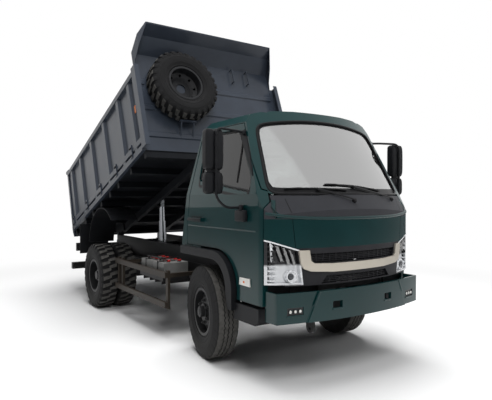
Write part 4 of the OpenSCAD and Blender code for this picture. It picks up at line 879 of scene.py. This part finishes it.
def window_sail(name, s, tree, aim):
    """Dark cover in the upper front corner of the window, where the mirror's arm comes out."""
    points = []
    for k in range(13):
        t = k / 12
        back = Vector((-0.706 + 0.276 * t, 1.648 + 0.384 * t, 0))
        reach = 0.012 + 0.062 * math.sin(math.pi * min(1.0, t * 1.15) * 0.62)
        front = back + Vector((-reach, 0.30 * reach * t, 0))
        for m in range(6):
            q = front.lerp(back, m / 5)
            z = min(q.y, 2.062)
            place, normal = landed(tree, rel(s * ABEAM, q.x, z), aim, rel(s * 0.80, q.x, z))
            points.append(place + (-normal if normal.x * s < 0 else normal) * 0.0022)
    shape = Shape()
    shape.add(points, grid_faces(12, 5))
    shape.tube(points[::6], 0.0045, 6, False, 0.7)
    shape.make("window_sail_" + name, "dark", "door_" + name, 60)


def side_windows():
    """On each door the window's seal and divider, the mirror's cover, and the grip over its cup."""
    for name, s in SIDES:
        body = "door_" + name
        door = surface_tree("door_" + name)
        edge = flat_outline(SIDE_WINDOW, 0.05, 120)
        aim = (-s, 0, 0)

        def place(outline):
            return [rel(s * ABEAM, p.x, p.y) for p in outline]
        shape = Shape()
        band(shape, door, place(grown(edge, 0.030)), place(grown(edge, 0.004)), aim, 0.0015)
        radius, squash, proud = 0.009, 0.7, 0.8
        bead(shape, surface_tree("door_" + name, "door_glass_" + name), place(grown(edge, 0.012)), aim,
             radius * squash * proud, radius, squash, 8, True)
        shape.make("door_window_seal_" + name, "trim", body, 45)
        grip = Shape()
        grip.box(*cab_box(s, (0.8765, 0.8895), (HANDLE_Y - HANDLE_HALF, HANDLE_Y + HANDLE_HALF), (1.2495, 1.2855)),
                 0.006, None, 3)
        cup = []
        for z in (1.242, 1.293):
            for start in line(s, (CUP_ABEAM, HANDLE_Y - CUP_HALF, z), (CUP_ABEAM, HANDLE_Y + CUP_HALF, z), 10):
                cup.append(Vector((landed(door, start, aim)[0].x + s * 0.0012, start.y, z)))
        grip.add(cup, grid_faces(1, 10))
        grip.make("door_grip_" + name, "dark", body, 50)
        window_sail(name, s, door, aim)
        shape = Shape()
        bead(shape, surface_tree("door_glass_" + name), line(s, (ABEAM, -0.470, 1.60), (ABEAM, -0.470, 1.99), 10),
             aim, 0.003, 0.009, 0.6)
        shape.make("door_divider_" + name, "trim", body, 45)


def crease_lines():
    """Pressed lines along the doors, the lip over the painted panel, and the seams on the front."""
    for name, s in SIDES:
        shape = Shape()
        bead(shape, surface_tree("door_" + name), line(s, (ABEAM, -0.80, CREASE_Z), (ABEAM, 0.34, CREASE_Z), 24),
             (-s, 0, 0), 0.0005, 0.006, 0.45)
        shape.make("door_crease_" + name, "green", "door_" + name, 60)
    tree = surface_tree("cab_front", "cowl_panel")
    shape = Shape()
    lip = [rel(x, AHEAD, 1.3075 + 0.040 * (abs(x) / 0.83) ** 4)
           for x in (-0.835 + 1.67 * k / 60 for k in range(61))]
    bead(shape, tree, lip, BACKWARD, 0.001, 0.0125, 0.5, 8)
    shape.make("front_panel_lip", "green", "chassis", 60)
    shape = Shape()
    for s in (-1, 1):
        bead(shape, tree, line(s, (0.616, AHEAD, 1.075), (0.664, AHEAD, 1.500), 12), BACKWARD, 0.0003, 0.0032, 0.35)
    shape.make("front_seams", "trim", "chassis", 60)


# ---------------------------------------------------------------- lamps

# The top and foot of each slat: x, z
LAMP_SLATS = [((0.752, 1.098), (0.704, 0.976)), ((0.700, 1.080), (0.652, 0.954)), ((0.650, 1.062), (0.604, 0.946))]


def sheet(shape, tree, s, corners, lift, rows=8, cols=4):
    """A four-sided skin laid over a surface that is seen from the front."""
    a, b, c, d = [Vector((x, 0, z)) for x, z in corners]
    verts = []
    for r in range(rows + 1):
        for k in range(cols + 1):
            p = a.lerp(b, k / cols).lerp(d.lerp(c, k / cols), r / rows)
            verts.append(landed(tree, rel(s * p.x, AHEAD, p.z), BACKWARD, rel(s * p.x, -0.915, p.z))[0])
    # Points that fell past the form's edge come forward to the others
    front = sorted(v.y for v in verts)[len(verts) // 4]
    for v in verts:
        v.y = (front if v.y > front + 0.020 else v.y) - lift
    shape.add(verts, grid_faces(rows, cols))


def headlamps():
    """On each lamp the pale slats, a bright strip and ribs, bright rims and the ringed projector."""
    for name, s in SIDES:
        skin = surface_tree("front_lamps")
        shape = Shape()
        for (x0, z0), (x1, z1) in LAMP_SLATS:
            sheet(shape, skin, s, [(x0, z0), (x0 + 0.024, z0 + 0.004), (x1 + 0.024, z1 - 0.004), (x1, z1)], 0.0022)
        shape.make("headlamp_slats_" + name, "slat", "chassis", 60)
        shape = Shape()
        sheet(shape, skin, s, [(0.786, 1.112), (0.812, 1.120), (0.800, 0.975), (0.768, 0.975)], 0.0020)
        for i in range(4):
            z = 0.8235 + i * 0.038
            sheet(shape, skin, s, [(0.766, z), (0.798, z), (0.798, z + 0.010), (0.766, z + 0.010)], 0.0015, 2, 6)
        shape.make("headlamp_strip_" + name, "bright", "chassis", 60)
        shape = Shape()
        for start, end, radius in (((0.590, AHEAD, 1.058), (0.840, AHEAD, 1.140), 0.0055),
                                   ((0.566, AHEAD, 0.799), (0.826, AHEAD, 0.803), 0.0045)):
            bead(shape, skin, line(s, start, end, 16), BACKWARD, 0.001, radius, 0.6)
        shape.make("headlamp_rim_" + name, "bright", "chassis", 60)
        tree = surface_tree("front_lamps", "cab_front", "grille")
        place, _ = meet(tree, rel(s * 0.646, AHEAD, 0.856), BACKWARD)
        turned = frame_at(Vector((s * 0.646, place.y, 0.856)), (s * 0.12, -1, 0))
        for part, key, count, angle, profile in (
                ("ring", "bright", 40, 32, [(0.0495, -0.02), (0.0495, 0.010), (0.046, 0.014), (0.041, 0.012),
                                            (0.038, 0.004), (0.037, -0.02)]),
                ("eye", "eye", 32, 60, [(0.0, 0.008), (0.012, 0.0072), (0.022, 0.0035), (0.029, -0.003),
                                        (0.031, -0.010), (0.031, -0.03)]),
                ("dark", "trim", 32, 60, [(0.037, -0.004), (0.031, -0.008)])):
            shape = Shape()
            shape.lathe(profile, turned, count)
            shape.make("projector_%s_%s" % (part, name), key, "chassis", angle)


# ---------------------------------------------------------------- mirrors

def mirrors():
    """On each door an arm carries two rounded housings and lies in the groove between their lobes."""
    for name, s in SIDES:
        body = "door_" + name

        def at(x, y, z):
            return rel(s * x, y, z)
        shape = Shape()
        shape.tube(rounded_path([at(0.772, -0.500, 2.022), at(0.860, -0.535, 2.028), at(1.105, -0.606, 2.028),
                                 at(1.105, -0.606, 1.470), at(1.020, -0.612, 1.392), at(0.892, -0.615, 1.392)],
                                0.075), 0.0105, 12)
        for z0, z1 in ((1.880, 1.925), (1.745, 1.775), (1.585, 1.620)):
            shape.tube([at(1.105, -0.606, z0), at(1.105, -0.606, z1)], 0.0135, 14)
        for x in ((1.0235, 1.1075), (1.1025, 1.1865)):
            shape.lobe(*cab_box(s, x, (-0.597, -0.512), (1.6935, 2.0205)), 5.0)
            shape.lobe(*cab_box(s, x, (-0.593, -0.514), (1.5015, 1.6785)), 4.0)
        # Backs of the two glasses, the neck between them, the arm's bracket on the door and its upper foot
        for x, y, z, radius, segments in (
                ((1.030, 1.180), (-0.560, -0.5095), (1.700, 2.014), 0.016, 3),
                ((1.030, 1.180), (-0.558, -0.5130), (1.508, 1.672), 0.016, 3),
                ((1.050, 1.160), (-0.575, -0.545), (1.668, 1.704), 0.008, 2),
                ((0.8555, 0.8995), (-0.688, -0.548), (1.2765, 1.3720), 0.014, 4),
                ((0.757, 0.800), (-0.528, -0.478), (2.000, 2.0405), 0.012, 3)):
            shape.box(*cab_box(s, x, y, z), radius, None, segments)
        shape.lathe([(0.0, 0.0), (0.019, 0.0), (0.021, 0.004), (0.021, 0.046), (0.015, 0.053), (0.0, 0.053)],
                    Matrix.Translation(at(0.8785, -0.615, 1.361)), 20)
        piece = shape.make("mirror_body_" + name, "dark", body, 50)
        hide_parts("mirror_" + name)
        turn = matrix_of((s, 0, 0), (0, 0, 1), (0, -1, 0), (0, -0.560 + FRONT_AXLE_Y, 0))
        for part, z0, z1, deep in (("main", 1.708, 2.006, 0.0), ("wide", 1.516, 1.664, 0.0035)):
            outline = flat_outline([(1.037, z0), (1.173, z0), (1.173, z1), (1.037, z1)], 0.022, 48)[::s]
            shape = Shape()
            shape.plate([(p.x, p.y) for p in outline], -0.0520 + deep, -0.0498 + deep, 0.0008, turn, 1)
            shape.make("mirror_glass_%s_%s" % (part, name), "mirror", body, 40)


# ---------------------------------------------------------------- cab inside

def cushion(name, low, high, crown, channels, lean=0.0):
    """A crowned pad with sewn channels, pulled in between its corners."""
    size = [b - a for a, b in zip(low, high)]
    centre = Vector([(a + b) / 2 for a, b in zip(low, high)])
    lying = size[1] > size[2]
    power = 6.0  # of the superellipse that rounds the pad
    dip_depth, dip_width = 0.008, 0.035
    bm = bmesh.new()
    bmesh.ops.create_cube(bm, size=1.0)
    bmesh.ops.subdivide_edges(bm, edges=bm.edges[:], cuts=15, use_grid_fill=True)
    for v in bm.verts:
        u = v.co * 2
        x, y, z = u / sum(abs(c) ** power for c in u) ** (1 / power)
        length = y if lying else z
        bulge = 1 - crown * 0.35 * (1 - (1 - x * x) * (1 - length * length))
        p = Vector((x * size[0] / 2, y * size[1] / 2 * (1 if lying else bulge),
                    z * size[2] / 2 * (bulge if lying else 1)))
        dip = sum(dip_depth * math.exp(-((x - c) / dip_width) ** 2) for c in channels)
        if lying and z > 0.2:
            p.z -= dip
        elif not lying and y < -0.2:
            p.y += dip
        p.y += lean * (p.z + size[2] / 2)
        v.co = centre + p
    shape = Shape()
    shape.bm_add(bm)
    piece = shape.make(name, "seat", "chassis", 60)
    return piece


def cab_lining():
    """Pale lining on the cab's back wall, round the rear window."""
    tree = surface_tree("cab_rear")
    shape = Shape()
    rows, cols = 8, 12
    for x0, z0, x1, z1 in ((-0.74, 1.10, 0.74, 1.47), (-0.74, 1.47, -0.53, 1.93), (0.53, 1.47, 0.74, 1.93),
                           (-0.70, 1.93, 0.70, 2.06)):
        grid = []
        for r in range(rows + 1):
            z = z0 + (z1 - z0) * r / rows
            for start in line(1, (x0, -0.30, z), (x1, -0.30, z), cols):
                place, _ = meet(tree, start, BACKWARD)
                # A line that slipped past the wall goes back to it
                if place is None or place.y > FRONT_AXLE_Y + 0.60:
                    place = tree.find_nearest(Vector((start.x, FRONT_AXLE_Y + 0.25, start.z)))[0]
                grid.append(place + Vector((0, -0.003, 0)))
        shape.add(grid, grid_faces(rows, cols))
    shape.make("cab_lining", "lining", "chassis", 60)


def seats():
    """Cushions and backs for the driver and the passengers on a common base."""
    low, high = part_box("seats")
    bottom, top = low[2], high[2]
    for name, x0, x1, channels in (("driver", 0.06, 0.57, (-0.45, 0.45)),
                                   ("passenger", -0.57, 0.0, (-0.5, 0.0, 0.5))):
        x0, x1 = max(x0, low[0]), min(x1, high[0])
        cushion("seat_cushion_" + name, (x0, low[1] + 0.01, bottom + 0.09),
                            (x1, low[1] + 0.53, bottom + 0.25), 0.5, channels)
        cushion("seat_back_" + name, (x0 + 0.01, high[1] - 0.17, bottom + 0.22),
                            (x1 - 0.01, high[1] - 0.04, top - 0.02), 0.5, channels, 0.04)
    shape = Shape()
    shape.box((low[0] + 0.02, low[1] + 0.03, bottom), (high[0] - 0.02, high[1] - 0.05, bottom + 0.10), 0.01)
    shape.make("seat_base", "dark", "chassis")
    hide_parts("seats")


# ---------------------------------------------------------------- chassis fittings

def battery_tray():
    """Angle bars that carry the batteries from the frame rail, a lip round their foot and a clamp over each."""
    low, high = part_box("battery")
    x_rail = -0.376  # outer side of the frame rail
    clamp_z = 0.776
    shape = Shape()
    for t in (0.10, 0.38, 0.62, 0.90):
        y = low[1] + (high[1] - low[1]) * t
        shape.box((low[0] - 0.008, y - 0.022, low[2] - 0.012), (x_rail, y + 0.022, low[2] - 0.001), 0.002)
        shape.box((low[0] - 0.008, y - 0.022, low[2] - 0.050), (x_rail, y - 0.016, low[2] - 0.004), 0.002)
        shape.box((x_rail - 0.006, y - 0.030, low[2] - 0.060), (x_rail + 0.0005, y + 0.030, low[2] + 0.080), 0.002)
    for x in (low[0] - 0.010, high[0] + 0.003):
        shape.box((x, low[1] - 0.012, low[2] - 0.012), (x + 0.007, high[1] + 0.012, low[2] + 0.045), 0.002)
    for y in (low[1] - 0.012, high[1] + 0.004):
        shape.box((low[0] - 0.010, y, low[2] - 0.012), (high[0] + 0.010, y + 0.008, low[2] + 0.045), 0.002)
    for t in (0.24, 0.76):
        y = low[1] + (high[1] - low[1]) * t
        shape.box((low[0] - 0.006, y - 0.014, clamp_z), (high[0] + 0.006, y + 0.014, clamp_z + 0.005), 0.001)
        for x in (low[0] - 0.007, high[0] + 0.004):
            shape.tube([(x, y, low[2] - 0.01), (x, y, clamp_z + 0.014)], 0.004, 8)
    shape.make("battery_tray", "steel", "chassis")


def battery_top():
    """Caps over the cells, and the leads."""
    low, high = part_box("battery")
    size = [b - a for a, b in zip(low, high)]
    shape = Shape()
    n = 6
    for col in range(2):
        for i in range(n):
            place = (low[0] + size[0] * (0.28 + 0.44 * col), low[1] + size[1] * (i + 0.5) / n, high[2] - 0.001)
            shape.lathe([(0.0, -0.001), (0.021, -0.001), (0.021, 0.010), (0.017, 0.015), (0.0, 0.016)],
                        frame_at(place, (0, 0, 1), (1, 0, 0)), 20)
    shape.make("battery_caps", "cap_red", "chassis")
    shape = Shape()
    for share in (0.25, 0.75):
        y = low[1] + size[1] * share
        shape.tube([(low[0] + 0.02, y, high[2] + 0.002), (low[0] + 0.05, y, high[2] + 0.022),
                    (high[0] - 0.05, y, high[2] + 0.022), (high[0] - 0.02, y, high[2] + 0.002)], 0.007, 8)
    shape.tube([(low[0] + 0.06, low[1] + 0.04, high[2] + 0.012),
                (low[0] + 0.05, low[1] + size[1] / 2, high[2] + 0.022),
                (low[0] + 0.06, high[1] - 0.04, high[2] + 0.012)], 0.008, 8)
    shape.make("battery_leads", "trim", "chassis")


def small_lamps():
    """Side marker on each front corner, reflectors on the bed and tail lamps on their plates."""
    for name, s in SIDES:
        turned = frame_at(*meet(surface_tree("door_" + name), rel(s * ABEAM, -0.650, 0.79), (-s, 0, 0)))
        shape = Shape()
        shape.plate([(-0.032, -0.074), (0.032, -0.068), (0.030, 0.066), (-0.030, 0.074)], -0.002, 0.016, 0.004, turned)
        shape.make("side_marker_" + name, "ivory", "door_" + name)
        shape = Shape()
        shape.plate([(-0.008, -0.012), (0.010, -0.009), (0.006, 0.014), (-0.010, 0.010)], 0.015, 0.0175, 0.001, turned)
        shape.make("side_marker_bulb_" + name, "orange", "door_" + name)
        place, normal = meet(surface_tree("bed_sides"), TIPPED @ Vector((s * BED_ABEAM, 1.01, 1.62)), (-s, 0, 0))
        turned = frame_at(place, normal, TIPPED.to_3x3() @ Vector((0, 0, 1)))
        shape = Shape()
        shape.plate([(-0.045, -0.022), (0.045, -0.022), (0.045, 0.022), (-0.045, 0.022)], -0.001, 0.006, 0.003, turned)
        shape.make("bed_reflector_" + name, "orange", "bed")
    tree = surface_tree("tail_bar")
    for name, s in SIDES:
        place, _ = meet(tree, (s * 0.90, 4.0, 0.715), (0, -1, 0))
        shape = Shape()
        for k in range(3):
            x0, x1 = sorted((s * (0.812 + 0.062 * k), s * (0.870 + 0.062 * k)))
            shape.box((x0, place.y - 0.002, 0.668), (x1, place.y + 0.020, 0.762), 0.006, mark=k)
        shape.make("tail_lamp_" + name, ["red", "ivory", "orange"], "chassis")


def bed_bolts():
    """Bolts with their washers on the brackets of the bed's sides."""
    tree = surface_tree("bed_sides")
    for name, s in SIDES:
        shape = Shape()
        for y in (1.205, 1.751, 2.393, 3.034, 3.774):
            for dy, z in ((-0.014, 1.125), (0.014, 1.125), (-0.014, 1.215), (0.014, 1.215)):
                place, normal = meet(tree, TIPPED @ Vector((s * BED_ABEAM, y + dy, z)), (-s, 0, 0))
                if place is None:
                    continue
                turned = frame_at(place, normal)
                shape.lathe([(0.0, -0.001), (0.0125, -0.001), (0.0125, 0.002), (0.0, 0.002)], turned, 14)
                shape.lathe([(0.0, 0.001), (0.0095, 0.001), (0.0095, 0.008), (0.008, 0.010), (0.0, 0.010)], turned, 6)
        shape.make("bracket_bolts_" + name, "steel", "bed")


def bumper_detail():
    """Lips of the bumper's openings, and the fog lamps in their bezels."""
    tree = surface_tree("bumper")
    lamp_x, pitch, lamp_z = 0.673, 0.041, 0.602
    lamps = (lamp_x - pitch, lamp_x, lamp_x + pitch)

    def front(s, x):
        return meet(tree, rel(s * x, AHEAD, lamp_z), BACKWARD)
    shape = Shape()
    for s in (-1, 1):
        for x0, x1, z in ((0.600, 0.746, 0.568), (0.245, 0.349, 0.595)):
            bead(shape, tree, line(s, (x0, AHEAD, z), (x1, AHEAD, z), 8), BACKWARD, 0.001, 0.007, 0.6, 8)
        bead(shape, tree, line(s, (0.467, AHEAD, 0.742), (0.575, AHEAD, 0.513), 12), BACKWARD, 0.0005, 0.009, 0.6, 8)
    shape.make("bumper_lips", "green", "chassis", 60)
    # Dark bezel in each fog lamp recess, with a frame round every lamp
    shape = Shape()
    for s in (-1, 1):
        inner, outer = lamp_x - pitch / 2, lamp_x + pitch / 2
        near, far = [front(s, x)[0].y for x in (inner, outer)]

        def depth(x):
            return near + (far - near) / pitch * (x - inner)
        shape.add([Vector((s * x, depth(x) - 0.002, z)) for z in (0.5735, 0.6305)
                   for x in (0.6055 + 0.135 * k / 8 for k in range(9))], grid_faces(1, 8))
        for x in lamps:
            x0, x1 = sorted((s * (x - 0.0163), s * (x + 0.0163)))
            shape.box((x0, front(s, x)[0].y - 0.0012, 0.5850), (x1, depth(x), 0.6190), 0.003)
    shape.make("fog_lamp_bezels", "smoke", "chassis", 50)
    shape = Shape()
    for s in (-1, 1):
        for x in lamps:
            shape.lathe([(0.0, 0.0055), (0.008, 0.005), (0.0115, 0.003), (0.0125, -0.001)], frame_at(*front(s, x)), 18)
    shape.make("fog_lamp_eyes", "ivory", "chassis", 60)


for build in (windscreen, wipers, painted_corners, side_windows, crease_lines, headlamps, mirrors, seats,
              cab_lining, battery_tray, battery_top, small_lamps, bed_bolts, bumper_detail):
    build()


# ---------------------------------------------------------------- camera, floor and light

def add_camera():
    """The camera that was fitted to the photograph."""
    data = bpy.data.cameras.new("photo_camera")
    data.sensor_width = 36.0
    data.lens = LENS_MM
    camera = bpy.data.objects.new("photo_camera", data)
    camera.location = rel(*CAMERA_PLACE)
    camera.rotation_euler = (CAMERA_TILT, 0, CAMERA_PAN)
    bpy.context.scene.collection.objects.link(camera)
    bpy.context.scene.camera = camera


def add_floor():
    """A pale floor that keeps the truck's shadow and goes over into the white background."""
    mat, tree = new_material("studio_floor")
    coord, noise = shade_nodes(tree, 0.4)
    pale = node(tree, "BsdfPrincipled", {
        "Base Color": ramp(tree, noise, (0.2, (0.90, 0.90, 0.90)), (0.8, (0.93, 0.93, 0.93))),
        "Roughness": 0.95, "Specular IOR Level": 0.0})
    distance = node(tree, "VectorMath", {0: coord}, operation="LENGTH").outputs["Value"]
    far = scaled(tree, distance, 0.0, 1.0, 3.2, 7.0, interpolation_type="SMOOTHSTEP")
    seen = joined(tree, "MULTIPLY", far, node(tree, "LightPath").outputs["Is Camera Ray"])
    show(tree, mixed(tree, seen, pale, node(tree, "Emission", {"Color": (1, 1, 1, 1)})))
    mesh = bpy.data.meshes.new("floor")
    size = 60.0
    mesh.from_pydata([(-size, -size, 0), (size, -size, 0), (size, size, 0), (-size, size, 0)], [], [(0, 1, 2, 3)])
    mesh.materials.append(mat)
    floor = bpy.data.objects.new("floor", mesh)
    bpy.context.scene.collection.objects.link(floor)


def add_world():
    """A soft room for the lighting that camera, mirrored and transmitted rays see as plain white."""
    world = bpy.data.worlds.new("studio")
    bpy.context.scene.world = world
    world.use_nodes = True
    tree = world.node_tree
    tree.nodes.clear()
    paths = node(tree, "LightPath").outputs
    white = joined(tree, "MAXIMUM", paths["Is Camera Ray"], paths["Is Transmission Ray"])
    white = joined(tree, "MAXIMUM", white, paths["Is Glossy Ray"])
    lit = node(tree, "Background", {"Color": (0.95, 0.97, 1.0, 1.0), "Strength": WORLD_LIGHT})
    shown = node(tree, "Background", {"Color": (1, 1, 1, 1), "Strength": 1.0})
    show(tree, mixed(tree, white, lit, shown), "OutputWorld")


def add_area(name, place, target, size, power):
    """A large lamp that is left out of reflections."""
    data = bpy.data.lights.new(name, "AREA")
    data.shape = "RECTANGLE"
    data.size, data.size_y = size
    data.energy = power
    lamp = bpy.data.objects.new(name, data)
    lamp.location = place
    lamp.rotation_euler = (Vector(target) - Vector(place)).to_track_quat("-Z", "Y").to_euler()
    lamp.visible_glossy = False
    bpy.context.scene.collection.objects.link(lamp)


WORLD_LIGHT = 0.09
add_camera()
add_floor()
add_world()
add_area("key", (-2.4, -7.4, 7.6), (0, -0.8, 1.0), (4, 4), 360)
add_area("top", (0.3, 0.3, 8.5), (0, 0, 0), (6, 8), 1080)
add_area("fill", (7.0, -6.0, 4.0), (0, -1, 1.2), (5, 4), 70)
bpy.context.scene.view_settings.view_transform = "Standard"
